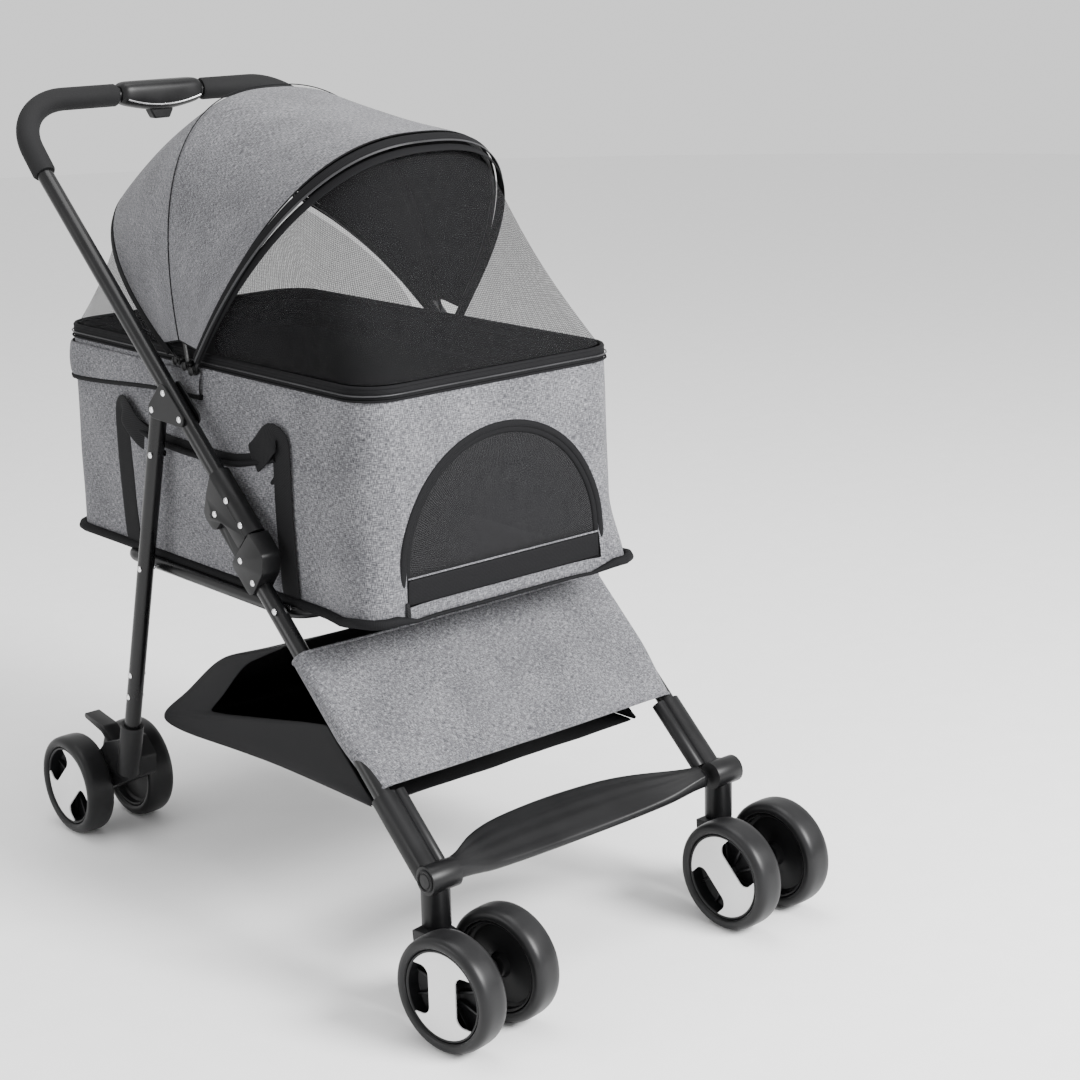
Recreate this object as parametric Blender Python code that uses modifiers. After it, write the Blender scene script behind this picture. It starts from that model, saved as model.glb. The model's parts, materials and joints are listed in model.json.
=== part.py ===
"""Four-wheel folding pet stroller with a lift-off fabric carrier.

Metres, +Z up, the floor at z = 0.  The stroller's front faces -Y, and the carer who
pushes it stands at +Y, so their left hand is at +X.  The frame's two sides lie in the
planes x = +SIDE_X and x = -SIDE_X, and most frame parts are laid out in such a plane
as (y, z) points.
"""
import math

import bmesh
import bpy
from mathutils import Matrix, Vector

# ---- driving dimensions -------------------------------------------------------------
GAP = 0.0004                    # clearance between faces that touch on the real object
SIDES = (("left", 1), ("right", -1))
SIDE_X = 0.221                  # plane of the handle tubes, the legs and the hinges
TUBE_R = 0.0105                 # 21 mm frame tube
PLATE_X = (0.2090, 0.2345)      # inner and outer face of the plates on a frame tube

HINGE_ORIGIN = Vector((0.0122, 0.5255))     # (y, z) of the upper rivet of the fold hinge
TUBE_SLOPE = math.radians(42.35)            # slope of the handle tubes and front legs
DOWN = Vector((-math.cos(TUBE_SLOPE), -math.sin(TUBE_SLOPE)))    # down along a tube
UNDER = Vector((math.sin(TUBE_SLOPE), -math.cos(TUBE_SLOPE)))    # square to it, below
LEG_OFFSET = 0.0340             # front legs run this far under the handle tubes' axes

FOLD_PIVOT = (-0.0050, LEG_OFFSET)          # (along, under) from HINGE_ORIGIN
HANDLE_END = 0.0545             # handle tube's lower end, along the tube
HANDLE_BEND = -0.5230           # where the handle tube turns up to the push bar
PUSH_BAR = (0.4800, 0.9640)     # (y, z) of the push bar's axis
PUSH_BEND_R = 0.078
GRIP_R = 0.0148
FOOT_TOP = 0.4000               # the front foot's socket begins here, along the leg
LEG_END = 0.4700                # lower end of the front leg tube

REAR_PIVOT = (0.1633, 0.6126)   # rear leg pivot on its bracket
RAIL_PIVOT = (0.2221, 0.3992)   # pivot of the carrier frame on the rear leg
REAR_LEG_END = (0.3030, 0.1180)
REAR_AXLE = (0.3960, 0.0670)
REAR_WHEEL_X = 0.2030
REAR_TWIN_OFFSET = 0.0460       # each wheel's middle from the middle of its pair

CASTER_STEM = (-0.3490, 0.1085)             # (y, z) of the foot's lower face
CASTER_TRAIL = 0.0670
CASTER_SHIFT = -0.0080          # the same fork on both sides, its arm beside the stem
CASTER_YAW = {"left": math.radians(2.5), "right": math.radians(9.0)}
CASTER_TWIN_OFFSET = 0.0440
WHEEL_R = 0.0670
TYRE_BORE_R = 0.0530
WHEEL_WIDTH = 0.0380
AXLE_R = 0.0040

CARRIER_HALF = 0.1885           # half width of the carrier
CARRIER_Y = (-0.2160, 0.4490)
CARRIER_Z = (0.4090, 0.6790)
FABRIC = 0.0035                 # wall of the carrier, board and padding together
DOOR_HALF = 0.1480
DOOR_Z = (0.4270, 0.5000, 0.6110)           # sill, spring line and top of the doorway
FRAME_Z = 0.3995                # axis of the carrier support frame
FRAME_Y = (-0.0820, 0.3050)
FRAME_X = 0.2000
FRAME_R = 0.0075

HOOP_R = 0.0025
HOOP_HALF = 0.1965
HOOPS = {                       # pivot y, pivot z, tilt forward in degrees, height
    "front_hoop": (0.1150, 0.6620, 36.0, 0.3380),
    "mid_hoop": (0.1300, 0.6660, -14.0, 0.3200),
    "rear_hoop": (0.1500, 0.6700, -55.0, 0.3300),
}


# ---- helpers ------------------------------------------------------------------------
def clear_scene():
    """Remove every object, so that the script starts from nothing."""
    for item in list(bpy.data.objects):
        bpy.data.objects.remove(item, do_unlink=True)


clear_scene()
STROLLER = bpy.data.collections.new("pet_stroller")
CUTTERS = bpy.data.collections.new("cutters")
for group in (STROLLER, CUTTERS):
    bpy.context.scene.collection.children.link(group)


def make_material(name, colour, roughness, metallic=0.0):
    made = bpy.data.materials.new(name)
    made.use_nodes = True
    shader = made.node_tree.nodes["Principled BSDF"]
    shader.inputs["Base Color"].default_value = (*colour, 1.0)
    shader.inputs["Roughness"].default_value = roughness
    shader.inputs["Metallic"].default_value = metallic
    return made


MATERIALS = {
    "frame_paint": make_material("frame_paint", (0.022, 0.022, 0.024), 0.38, 0.3),
    "black_plastic": make_material("black_plastic", (0.030, 0.030, 0.032), 0.50),
    "foam": make_material("foam", (0.024, 0.024, 0.025), 0.85),
    "tyre": make_material("tyre", (0.026, 0.026, 0.028), 0.60),
    "rim": make_material("rim", (0.018, 0.018, 0.019), 0.45),
    "steel": make_material("steel", (0.75, 0.75, 0.76), 0.25, 1.0),
    "grey_fabric": make_material("grey_fabric", (0.16, 0.16, 0.17), 0.90),
    "black_fabric": make_material("black_fabric", (0.012, 0.012, 0.013), 0.80),
    "mesh_fabric": make_material("mesh_fabric", (0.030, 0.030, 0.032), 0.85),
    "mat_fabric": make_material("mat_fabric", (0.10, 0.10, 0.105), 0.95),
}


def finish_object(item, material=None):
    """Put an object among the parts, or among the cutters when it has no material."""
    for group in list(item.users_collection):
        group.objects.unlink(item)
    if material is None:
        CUTTERS.objects.link(item)
        item.hide_render = True
        item.display_type = "WIRE"
    else:
        STROLLER.objects.link(item)
        item.data.materials.clear()
        item.data.materials.append(MATERIALS[material])
    return item


def mesh_object(name, mesh_data, material=None, angle=40.0):
    """Make an object of a bmesh, shaded smooth below the given angle."""
    data = bpy.data.meshes.new(name)
    mesh_data.to_mesh(data)
    mesh_data.free()
    data.shade_smooth()
    data.set_sharp_from_angle(angle=math.radians(angle))
    return finish_object(bpy.data.objects.new(name, data), material)


def weld_curve(item, name, material=None):
    """Turn a curve object into a mesh object whose caps are welded on."""
    bpy.context.view_layer.update()
    graph = bpy.context.evaluated_depsgraph_get()
    made = bmesh.new()
    source = bpy.data.meshes.new_from_object(item.evaluated_get(graph))
    made.from_mesh(source)
    place = item.matrix_world.copy()
    bpy.data.objects.remove(item, do_unlink=True)
    bpy.data.meshes.remove(source)
    bmesh.ops.remove_doubles(made, verts=made.verts, dist=1e-6)
    bmesh.ops.recalc_face_normals(made, faces=made.faces)
    made.transform(place)
    return mesh_object(name, made, material)


def tube(name, points, radius, material=None, sides=2, cyclic=False):
    """Sweep a round tube along a polyline; sides is the curve's bevel resolution."""
    data = bpy.data.curves.new(name, "CURVE")
    data.dimensions = "3D"
    data.bevel_depth = radius
    data.bevel_resolution = sides
    data.use_fill_caps = True
    spline = data.splines.new("POLY")
    spline.points.add(len(points) - 1)
    for point, place in zip(spline.points, points):
        point.co = (*place, 1.0)
    spline.use_cyclic_u = cyclic
    item = bpy.data.objects.new(name, data)
    bpy.context.scene.collection.objects.link(item)
    return weld_curve(item, name, material)


def plate(name, outline, x_low, x_high, material=None):
    """Extrude a (y, z) outline from x_low to x_high."""
    data = bpy.data.curves.new(name, "CURVE")
    data.dimensions = "2D"
    data.fill_mode = "BOTH"
    data.extrude = (x_high - x_low) / 2
    spline = data.splines.new("POLY")
    spline.points.add(len(outline) - 1)
    for point, place in zip(spline.points, outline):
        point.co = (place[0], place[1], 0.0, 1.0)
    spline.use_cyclic_u = True
    item = bpy.data.objects.new(name, data)
    middle = (x_high + x_low) / 2
    item.matrix_world = Matrix(((0, 0, 1, middle), (1, 0, 0, 0), (0, 1, 0, 0), (0, 0, 0, 1)))
    bpy.context.scene.collection.objects.link(item)
    return weld_curve(item, name, material)


def cylinder(name, start, end, radius, material=None, segments=24, end_radius=None):
    """A cylinder, or a cone when end_radius is given, between two points."""
    start, end = Vector(start), Vector(end)
    made = bmesh.new()
    bmesh.ops.create_cone(
        made, cap_ends=True, segments=segments, radius1=radius,
        radius2=radius if end_radius is None else end_radius, depth=(end - start).length)
    turn = (end - start).to_track_quat("Z", "Y").to_matrix().to_4x4()
    made.transform(Matrix.Translation((start + end) / 2) @ turn)
    return mesh_object(name, made, material)


def box(name, low, high, material=None):
    low, high = Vector(low), Vector(high)
    made = bmesh.new()
    bmesh.ops.create_cube(made, size=1.0)
    made.transform(Matrix.Translation((low + high) / 2) @ Matrix.Diagonal((*(high - low), 1.0)))
    return mesh_object(name, made, material)


def boolean(target, other, operation):
    """Join or cut target with a cutter object."""
    step = target.modifiers.new(other.name, "BOOLEAN")
    step.operation = operation
    step.solver = "EXACT"
    step.object = other
    return target


def cut(target, *others):
    for other in others:
        boolean(target, other, "DIFFERENCE")
    return target


def join(target, *others):
    for other in others:
        boolean(target, other, "UNION")
    return target


def bevel(item, width, segments=2, angle=35.0):
    step = item.modifiers.new("rounded_edges", "BEVEL")
    step.width = width
    step.segments = segments
    step.limit_method = "ANGLE"
    step.angle_limit = math.radians(angle)
    return item


def turned(name, profile, segments, material=None):
    """Turn a (radius, height) profile, outer side first from the top, about local Z."""
    made = bmesh.new()
    points = [made.verts.new((radius, 0.0, height)) for radius, height in profile]
    edges = [made.edges.new(pair) for pair in zip(points, points[1:] + points[:1])]
    bmesh.ops.spin(
        made, geom=points + edges, cent=(0, 0, 0), axis=(0, 0, 1),
        angle=math.tau, steps=segments, use_duplicate=False)
    bmesh.ops.remove_doubles(made, verts=made.verts, dist=1e-5)
    bmesh.ops.recalc_face_normals(made, faces=made.faces)
    return mesh_object(name, made, material)


def round_corners(points, radius, steps=3):
    """Round each corner of a closed (y, z) outline; radius is a number or a list."""
    radii = radius if isinstance(radius, (list, tuple)) else [radius] * len(points)
    result = []
    for index, size in enumerate(radii):
        here = Vector(points[index])
        before = (Vector(points[index - 1]) - here).normalized()
        after = (Vector(points[(index + 1) % len(points)]) - here).normalized()
        half = before.angle(after) / 2
        reach = size / math.tan(half)
        centre = here + (before + after).normalized() * (size / math.sin(half))
        first, last = here + before * reach - centre, here + after * reach - centre
        for step in range(steps + 1):
            spoke = first.lerp(last, step / steps)
            result.append(centre + spoke.normalized() * size)
    return [(place[0], place[1]) for place in result]


def along(distance, under=0.0):
    """(y, z) of a point given along the handle tube's axis and under it."""
    place = HINGE_ORIGIN + DOWN * distance + UNDER * under
    return (place.x, place.y)


def side_point(side, place, x=SIDE_X):
    """A (y, z) point of a frame side as a 3D point."""
    return (side * x, place[0], place[1])


def bend(before, corner, after, radius, steps=8):
    """Points of an arc that rounds the corner of a 3D path."""
    before, corner, after = Vector(before), Vector(corner), Vector(after)
    to_before, to_after = (before - corner).normalized(), (after - corner).normalized()
    half = to_before.angle(to_after) / 2
    centre = corner + (to_before + to_after).normalized() * (radius / math.sin(half))
    reach = radius / math.tan(half)
    first, last = corner + to_before * reach - centre, corner + to_after * reach - centre
    return [centre + first.slerp(last, step / steps).normalized() * radius
            for step in range(steps + 1)]


# ---- handle --------------------------------------------------------------------------
def handle_path():
    """The handle tube's axis from its right lower end to its left one."""
    path = []
    low = side_point(-1, along(HANDLE_END))
    knee = side_point(-1, along(HANDLE_BEND))
    corner = side_point(-1, PUSH_BAR)
    middle = (0.0, *PUSH_BAR)
    path.append(Vector(low))
    path += bend(low, knee, corner, 0.060, 3)
    path += bend(knee, corner, middle, PUSH_BEND_R, 8)
    return path + [Vector((-place.x, place.y, place.z)) for place in reversed(path)]


def build_handle():
    path = handle_path()
    tube("handle_tube", path, TUBE_R, "frame_paint", 3)
    sleeve_half = 0.062
    half = len(path) // 2
    for side_name, side in SIDES:
        bent = [Vector((side * abs(place.x), place.y, place.z)) for place in path[4:half]]
        stop = Vector((side * sleeve_half, *PUSH_BAR))
        inward = Vector((side * -0.010, 0.0, 0.0))
        before = bent[0] + (bent[0] - bent[1]).normalized() * 0.010
        grip = tube("grip_" + side_name, [*bent, stop], GRIP_R, "foam", 4)
        cut(grip, tube("bore_grip_" + side_name, [before, *bent, stop + inward],
                       TUBE_R + GAP, None, 3))
    y, z = PUSH_BAR
    half = sleeve_half - GAP
    outline = round_corners([(y - 0.0175, z - 0.0210), (y + 0.0165, z - 0.0210),
                             (y + 0.0185, z + 0.0165), (y - 0.0185, z + 0.0165)], 0.0110)
    housing = plate("release_housing", outline, -half, half, "black_plastic")
    cut(housing, cylinder("bore_release", (-0.1, y, z), (0.1, y, z), TUBE_R + GAP),
        box("slot_release", (-0.0190, y - 0.0085, z - 0.0300), (0.0190, y + 0.0085, z)))
    trigger = box("release_trigger", (-0.0180, y - 0.0075, z - 0.0345),
                  (0.0180, y + 0.0075, z - 0.0170), "black_plastic")
    bevel(trigger, 0.0025)


# ---- hinges and legs -----------------------------------------------------------------
def build_rear_leg_bracket(side_name, side):
    low, high = sorted((side * PLATE_X[0], side * PLATE_X[1]))
    outline = round_corners([
        along(-0.1640, 0.0100), along(-0.1800, -0.0130), along(-0.1040, -0.0130),
        along(-0.1060, 0.0130), (REAR_PIVOT[0] - 0.0120, REAR_PIVOT[1] - 0.0020),
        (REAR_PIVOT[0] + 0.0020, REAR_PIVOT[1] - 0.0150),
        (REAR_PIVOT[0] + 0.0170, REAR_PIVOT[1] - 0.0020)],
        [0.006, 0.006, 0.010, 0.006, 0.003, 0.008, 0.008])
    bracket = plate("rear_leg_bracket_" + side_name, outline, low, high, "black_plastic")
    slot_x = (SIDE_X - TUBE_R - 2 * GAP, SIDE_X + TUBE_R + 2 * GAP)
    cut(bracket,
        cylinder("bore_bracket_" + side_name, side_point(side, along(-0.30)),
                 side_point(side, along(0.05)), TUBE_R + GAP),
        cylinder("slot_bracket_" + side_name, (side * slot_x[0], *REAR_PIVOT),
                 (side * slot_x[1], *REAR_PIVOT), 0.0205, None, 32))
    join(bracket, cylinder("pin_bracket_" + side_name, side_point(side, REAR_PIVOT, 0.2075),
                           side_point(side, REAR_PIVOT, 0.2362), 0.0030, None, 16))


def build_rear_leg(side_name, side):
    pivot, end = Vector(REAR_PIVOT), Vector(REAR_LEG_END)
    run = (end - pivot).normalized()
    top = pivot - run * 0.0060
    leg = tube("rear_leg_" + side_name, [side_point(side, top), side_point(side, end)],
               TUBE_R, "frame_paint", 4)
    cut(leg, cylinder("bore_leg_" + side_name, side_point(side, REAR_PIVOT, 0.2),
                      side_point(side, REAR_PIVOT, 0.25), 0.0034, None, 16))
    join(leg, cylinder("pin_rail_" + side_name, side_point(side, RAIL_PIVOT, 0.1905),
                       side_point(side, RAIL_PIVOT, 0.2150), 0.0030, None, 16))


def build_rear_wheel_housing(side_name, side):
    """Leg socket, arm and axle boss between the twin rear wheels, in one moulding."""
    leg_run = (Vector(REAR_LEG_END) - Vector(REAR_PIVOT)).normalized()
    socket_top = Vector(REAR_LEG_END) - leg_run * 0.0560
    socket_low = Vector(REAR_LEG_END) + leg_run * 0.0180
    x_low, x_high = sorted((side * (REAR_WHEEL_X - 0.0190), side * (REAR_WHEEL_X + 0.0230)))
    y, z = REAR_AXLE
    outline = round_corners([
        (0.2960, 0.1200), (0.3200, 0.1420), (0.3560, 0.1300), (y + 0.0160, z + 0.0100),
        (y + 0.0120, z - 0.0160), (y - 0.0100, z - 0.0180), (0.3000, 0.0920)],
        [0.008, 0.008, 0.012, 0.010, 0.010, 0.012, 0.008])
    housing = plate("rear_wheel_housing_" + side_name, outline, x_low, x_high, "black_plastic")
    join(housing, cylinder("socket_rear_" + side_name, side_point(side, socket_top),
                           side_point(side, socket_low), 0.0150))
    cut(housing,
        cylinder("bore_socket_" + side_name,
                 side_point(side, socket_top - leg_run * 0.02),
                 side_point(side, Vector(REAR_LEG_END) + leg_run * GAP), TUBE_R + GAP),
        cylinder("bore_rear_axle_" + side_name, (side * 0.1, y, z), (side * 0.3, y, z),
                 AXLE_R + GAP, None, 16),
        box("slot_brake_" + side_name,
            (side * REAR_WHEEL_X - 0.0115, 0.3400, 0.1040), (side * REAR_WHEEL_X + 0.0115, 0.42, 0.16)))
    join(housing, cylinder("pin_brake_" + side_name, (side * REAR_WHEEL_X - 0.0150, 0.3510, 0.1130),
                           (side * REAR_WHEEL_X + 0.0150, 0.3510, 0.1130), 0.0028, None, 16))


def build_brake_pedal(side_name, side):
    outline = round_corners([
        (0.3450, 0.1180), (0.3510, 0.1200), (0.3800, 0.1430), (0.4280, 0.1500),
        (0.4300, 0.1430), (0.3860, 0.1330), (0.3575, 0.1075), (0.3460, 0.1075)],
        [0.002, 0.004, 0.010, 0.003, 0.003, 0.012, 0.004, 0.004])
    middle = side * REAR_WHEEL_X
    pedal = plate("brake_pedal_" + side_name, outline, middle - 0.0105, middle + 0.0105,
                  "black_plastic")
    cut(pedal, cylinder("bore_brake_" + side_name, (middle - 0.03, 0.3510, 0.1130),
                        (middle + 0.03, 0.3510, 0.1130), 0.0032, None, 16))


def build_fold_hinge(side_name, side):
    """Upper half of the fold hinge: it holds the handle tube and the fold pivot's ears."""
    low, high = sorted((side * PLATE_X[0], side * PLATE_X[1]))
    outline = round_corners([
        along(-0.0370, -0.0018), along(0.0555, -0.0018), along(0.0555, 0.0200),
        along(0.0240, 0.0200), along(0.0120, 0.0250), along(0.0120, 0.0460),
        along(-0.0160, 0.0480), along(-0.0280, 0.0240)],
        [0.002, 0.002, 0.003, 0.004, 0.004, 0.010, 0.010, 0.010])
    hinge = plate("fold_hinge_" + side_name, outline, low, high, "black_plastic")
    pivot = along(*FOLD_PIVOT)
    cut(hinge,
        cylinder("bore_hinge_" + side_name, side_point(side, along(-0.2)),
                 side_point(side, along(0.2)), TUBE_R + GAP),
        cylinder("slot_hinge_" + side_name, side_point(side, pivot, 0.2140),
                 side_point(side, pivot, 0.2290), 0.0212, None, 32))
    join(hinge, cylinder("pin_hinge_" + side_name, side_point(side, pivot, 0.2095),
                         side_point(side, pivot, 0.2362), 0.0030, None, 16))


def build_lock_slider(side_name, side):
    """Sleeve on the handle tube's upper side that drops over the hinge to lock it."""
    top, low = along(-0.0370, -0.0001), along(0.0552, -0.0001)
    slider = cylinder("lock_slider_" + side_name, side_point(side, top), side_point(side, low),
                      0.0150, "black_plastic", 32)
    turn = Matrix.Rotation(-math.pi / 2 + TUBE_SLOPE, 4, "X")
    lower_half = bmesh.new()
    bmesh.ops.create_cube(lower_half, size=1.0)
    middle = along(0.01, 0.0200 - 0.0026)
    lower_half.transform(Matrix.Translation(side_point(side, middle)) @ turn
                         @ Matrix.Diagonal((0.06, 0.04, 0.2, 1.0)))
    cut(slider,
        cylinder("bore_slider_" + side_name, side_point(side, along(-0.2)),
                 side_point(side, along(0.2)), TUBE_R + GAP, None, 32),
        mesh_object("under_slider_" + side_name, lower_half))


def build_fold_knuckle(side_name, side):
    """Lower half of the fold hinge, on the front leg, with a tongue to the fold pivot."""
    low, high = sorted((side * PLATE_X[0], side * PLATE_X[1]))
    outline = round_corners([
        along(0.0565, -0.0135), along(0.0920, -0.0135), along(0.1040, 0.0060),
        along(0.1080, 0.0480), along(0.0565, 0.0480)],
        [0.003, 0.008, 0.008, 0.008, 0.006])
    knuckle = plate("fold_knuckle_" + side_name, outline, low, high, "black_plastic")
    tongue = round_corners([
        along(-0.0145, LEG_OFFSET - 0.0095), along(0.0700, LEG_OFFSET - 0.0095),
        along(0.0700, LEG_OFFSET + 0.0095), along(-0.0145, LEG_OFFSET + 0.0095)],
        [0.009, 0.001, 0.001, 0.009])
    t_low, t_high = sorted((side * 0.2145, side * 0.2285))
    join(knuckle, plate("tongue_" + side_name, tongue, t_low, t_high))
    pivot = along(*FOLD_PIVOT)
    cut(knuckle,
        cylinder("bore_knuckle_" + side_name, side_point(side, pivot, 0.2),
                 side_point(side, pivot, 0.25), 0.0034, None, 20),
        cylinder("bore_leg_top_" + side_name, side_point(side, along(0.0720 - GAP, LEG_OFFSET)),
                 side_point(side, along(0.2, LEG_OFFSET)), TUBE_R + GAP))


def build_front_leg(side_name, side):
    tube("front_leg_" + side_name,
         [side_point(side, along(0.0720, LEG_OFFSET)), side_point(side, along(LEG_END, LEG_OFFSET))],
         TUBE_R, "frame_paint", 4)
    y, z = CASTER_STEM
    socket = cylinder("front_leg_foot_" + side_name, side_point(side, along(FOOT_TOP, LEG_OFFSET)),
                      side_point(side, along(0.5020, LEG_OFFSET)), 0.0150, "black_plastic")
    join(socket,
         cylinder("column_" + side_name, (side * SIDE_X, y, z), (side * SIDE_X, y, 0.1760), 0.0168),
         cylinder("boss_" + side_name, (side * 0.2000, -0.3560, 0.1660),
                  (side * 0.2400, -0.3560, 0.1660), 0.0165),
         cylinder("rib_" + side_name, side_point(side, along(FOOT_TOP, LEG_OFFSET - 0.004), 0.2030),
                  side_point(side, along(0.4950, LEG_OFFSET - 0.004), 0.2030), 0.0085))
    cut(socket,
        cylinder("bore_foot_" + side_name, side_point(side, along(0.3, LEG_OFFSET)),
                 side_point(side, along(LEG_END + GAP, LEG_OFFSET)), TUBE_R + GAP),
        cylinder("bore_stem_" + side_name, (side * SIDE_X, y, z - 0.01),
                 (side * SIDE_X, y, 0.1460), 0.0065, None, 16))


def build_footrest_bar():
    """Moulded step between the feet, widest in the middle, with a falling front face."""
    stations = (          # x, front top, back top, thickness
        (0.0000, (-0.3450, 0.1490), (-0.2740, 0.1730), 0.0150),
        (0.0900, (-0.3490, 0.1520), (-0.2840, 0.1740), 0.0150),
        (0.1450, (-0.3530, 0.1570), (-0.3060, 0.1735), 0.0160),
        (0.1750, (-0.3570, 0.1670), (-0.3300, 0.1755), 0.0195),
        (0.1938, (-0.3580, 0.1700), (-0.3380, 0.1765), 0.0215),
    )
    made = bmesh.new()
    rings = []
    for side in (-1, 1):
        ordered = reversed(stations) if side < 0 else stations[1:]
        for x, front, back, thick in ordered:
            ring = ((front[0], front[1]), back, (back[0] + 0.001, back[1] - thick * 0.8),
                    (front[0] + 0.004, front[1] - thick))
            rings.append([made.verts.new((side * x, *place)) for place in ring])
    loft(made, rings, closed_ring=True)
    bar = mesh_object("footrest_bar", made, "black_plastic", 30.0)
    bevel(bar, 0.0025)


def loft(made, rings, closed_ring, caps=True):
    """Join rings of vertices with quads, and close both ends when caps is true."""
    for first, second in zip(rings, rings[1:]):
        count = len(first)
        for index in range(count if closed_ring else count - 1):
            after = (index + 1) % count
            made.faces.new((first[index], first[after], second[after], second[index]))
    if caps:
        made.faces.new(rings[0])
        made.faces.new(rings[-1])
    bmesh.ops.recalc_face_normals(made, faces=made.faces)


# ---- wheels --------------------------------------------------------------------------
def build_wheel(name, centre, axle_turn, outward):
    """Tyre and rim with their axis along the axle; outward is the side of the hub face."""
    place = (Matrix.Translation(centre) @ axle_turn
             @ Matrix.Rotation(math.copysign(math.pi / 2, outward), 4, "Y"))
    half, bore = WHEEL_WIDTH / 2, TYRE_BORE_R
    tyre = turned("tyre_" + name, [
        (bore, half), (WHEEL_R - 0.0080, half), (WHEEL_R - 0.0020, half - 0.0060),
        (WHEEL_R, half - 0.0130), (WHEEL_R, -half + 0.0130), (WHEEL_R - 0.0020, -half + 0.0060),
        (WHEEL_R - 0.0080, -half), (bore, -half)][::-1], 36, "tyre")
    rim_r, hub_r, hole_r = bore - GAP, 0.0120, AXLE_R + GAP
    rim = turned("rim_" + name, [
        (rim_r, 0.0150), (rim_r, -0.0150), (rim_r - 0.0055, -0.0150), (rim_r - 0.0055, -0.0050),
        (hub_r, -0.0050), (hub_r, -0.0170), (hole_r, -0.0170), (hole_r, 0.0090),
        (hub_r, 0.0090), (hub_r, -0.0020), (rim_r - 0.0055, -0.0020), (rim_r - 0.0055, 0.0150)],
        24, "rim")
    for item in (tyre, rim):
        item.matrix_world = place


def build_axle(name, centre, axle_turn, wheel_offset):
    """Axle rod with an upset head outside each hub."""
    made_ends = []
    reach = wheel_offset + 0.0098
    direction = axle_turn @ Vector((1.0, 0.0, 0.0))
    centre = Vector(centre)
    rod = cylinder(name, centre - direction * reach, centre + direction * reach, AXLE_R,
                   "steel", 16)
    for sign in (-1, 1):
        near = centre + direction * sign * (reach - 0.0002)
        far = centre + direction * sign * (reach + 0.0022)
        made_ends.append(cylinder(name + ("_head_a" if sign > 0 else "_head_b"), near, far,
                                  0.0070, None, 16, 0.0055))
    join(rod, *made_ends)


def build_twin(corner, centre, axle_turn, side, wheel_offset):
    for place_name, sign in (("outer", side), ("inner", -side)):
        middle = Vector(centre) + (axle_turn @ Vector((sign * wheel_offset, 0.0, 0.0)))
        build_wheel(corner + "_" + place_name, middle, axle_turn, sign)


def build_caster(side_name, side):
    """Swivel fork between the twin front wheels, with its stem in the foot."""
    turn = Matrix.Rotation(CASTER_YAW[side_name], 4, "Z")
    stem_y, stem_z = CASTER_STEM
    stem = Vector((side * SIDE_X, stem_y, 0.0))
    place = Matrix.Translation(stem) @ turn
    outline = round_corners([
        (0.0140, 0.1060), (0.0130, 0.0880), (-0.0420, 0.0500), (-CASTER_TRAIL - 0.0040, 0.0510),
        (-CASTER_TRAIL - 0.0160, 0.0640), (-CASTER_TRAIL - 0.0130, 0.0800), (-0.0400, 0.1000),
        (-0.0150, 0.1060)],
        [0.002, 0.014, 0.014, 0.008, 0.010, 0.010, 0.012, 0.002])
    fork = plate("caster_fork_" + side_name, outline, CASTER_SHIFT - 0.0170,
                 CASTER_SHIFT + 0.0170, "black_plastic")
    join(fork,
         cylinder("swivel_" + side_name, (0, 0, 0.0920), (0, 0, stem_z - 2 * GAP), 0.0135,
                  None, 24, 0.0168),
         cylinder("stem_" + side_name, (0, 0, 0.0950), (0, 0, 0.1430), 0.0060, None, 16))
    cut(fork, cylinder("bore_fork_" + side_name, (-0.1, -CASTER_TRAIL, WHEEL_R),
                       (0.1, -CASTER_TRAIL, WHEEL_R), AXLE_R + GAP, None, 16))
    swivel = bpy.data.objects.new("swivel_axis_" + side_name, None)
    bpy.context.scene.collection.objects.link(swivel)
    swivel.matrix_world = place
    for item in (fork, *(step.object for step in fork.modifiers)):
        item.parent = swivel
    centre = place @ Vector((CASTER_SHIFT, -CASTER_TRAIL, WHEEL_R))
    build_axle("front_axle_" + side_name, centre, turn, CASTER_TWIN_OFFSET)
    build_twin("front_" + side_name, centre, turn, side, CASTER_TWIN_OFFSET)


# ---- carrier -------------------------------------------------------------------------
def carrier_ring(half, y_low, y_high, corner, height, steps=4):
    """Points of a rounded rectangle at one height."""
    outline = round_corners([(-half, y_low), (half, y_low), (half, y_high), (-half, y_high)],
                            corner, steps)
    return [(x, y, height) for x, y in outline]


def carrier_skin(inset):
    """Rings of the carrier's wall from its bottom edge to its rim."""
    y_low, y_high = CARRIER_Y
    z_low, z_high = CARRIER_Z
    levels = ((z_low, 0.0060, 0.030), (z_low + 0.012, 0.0, 0.036), (z_high, 0.0, 0.044))
    rings = []
    for height, tuck, corner in levels:
        shrink = tuck + inset
        rings.append(carrier_ring(CARRIER_HALF - shrink, y_low + (0 if not tuck else tuck) + inset,
                                  y_high - shrink, corner - inset, height))
    return rings


def door_outline(margin, low_y, high_y, name, material=None):
    """Doorway prism: straight jambs under half an ellipse, grown by margin."""
    sill, spring, top = DOOR_Z
    half = DOOR_HALF + margin
    points = [(-half, sill - margin), (half, sill - margin)]
    steps = 20
    for step in range(steps + 1):
        angle = math.pi * step / steps
        points.append((half * math.cos(angle), spring + (top + margin - spring) * math.sin(angle)))
    made = bmesh.new()
    face = made.faces.new([made.verts.new((x, low_y, z)) for x, z in points])
    grown = bmesh.ops.extrude_face_region(made, geom=[face])["geom"]
    moved = [part for part in grown if isinstance(part, bmesh.types.BMVert)]
    bmesh.ops.translate(made, verts=moved, vec=(0.0, high_y - low_y, 0.0))
    bmesh.ops.recalc_face_normals(made, faces=made.faces)
    return mesh_object(name, made, material)


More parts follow.
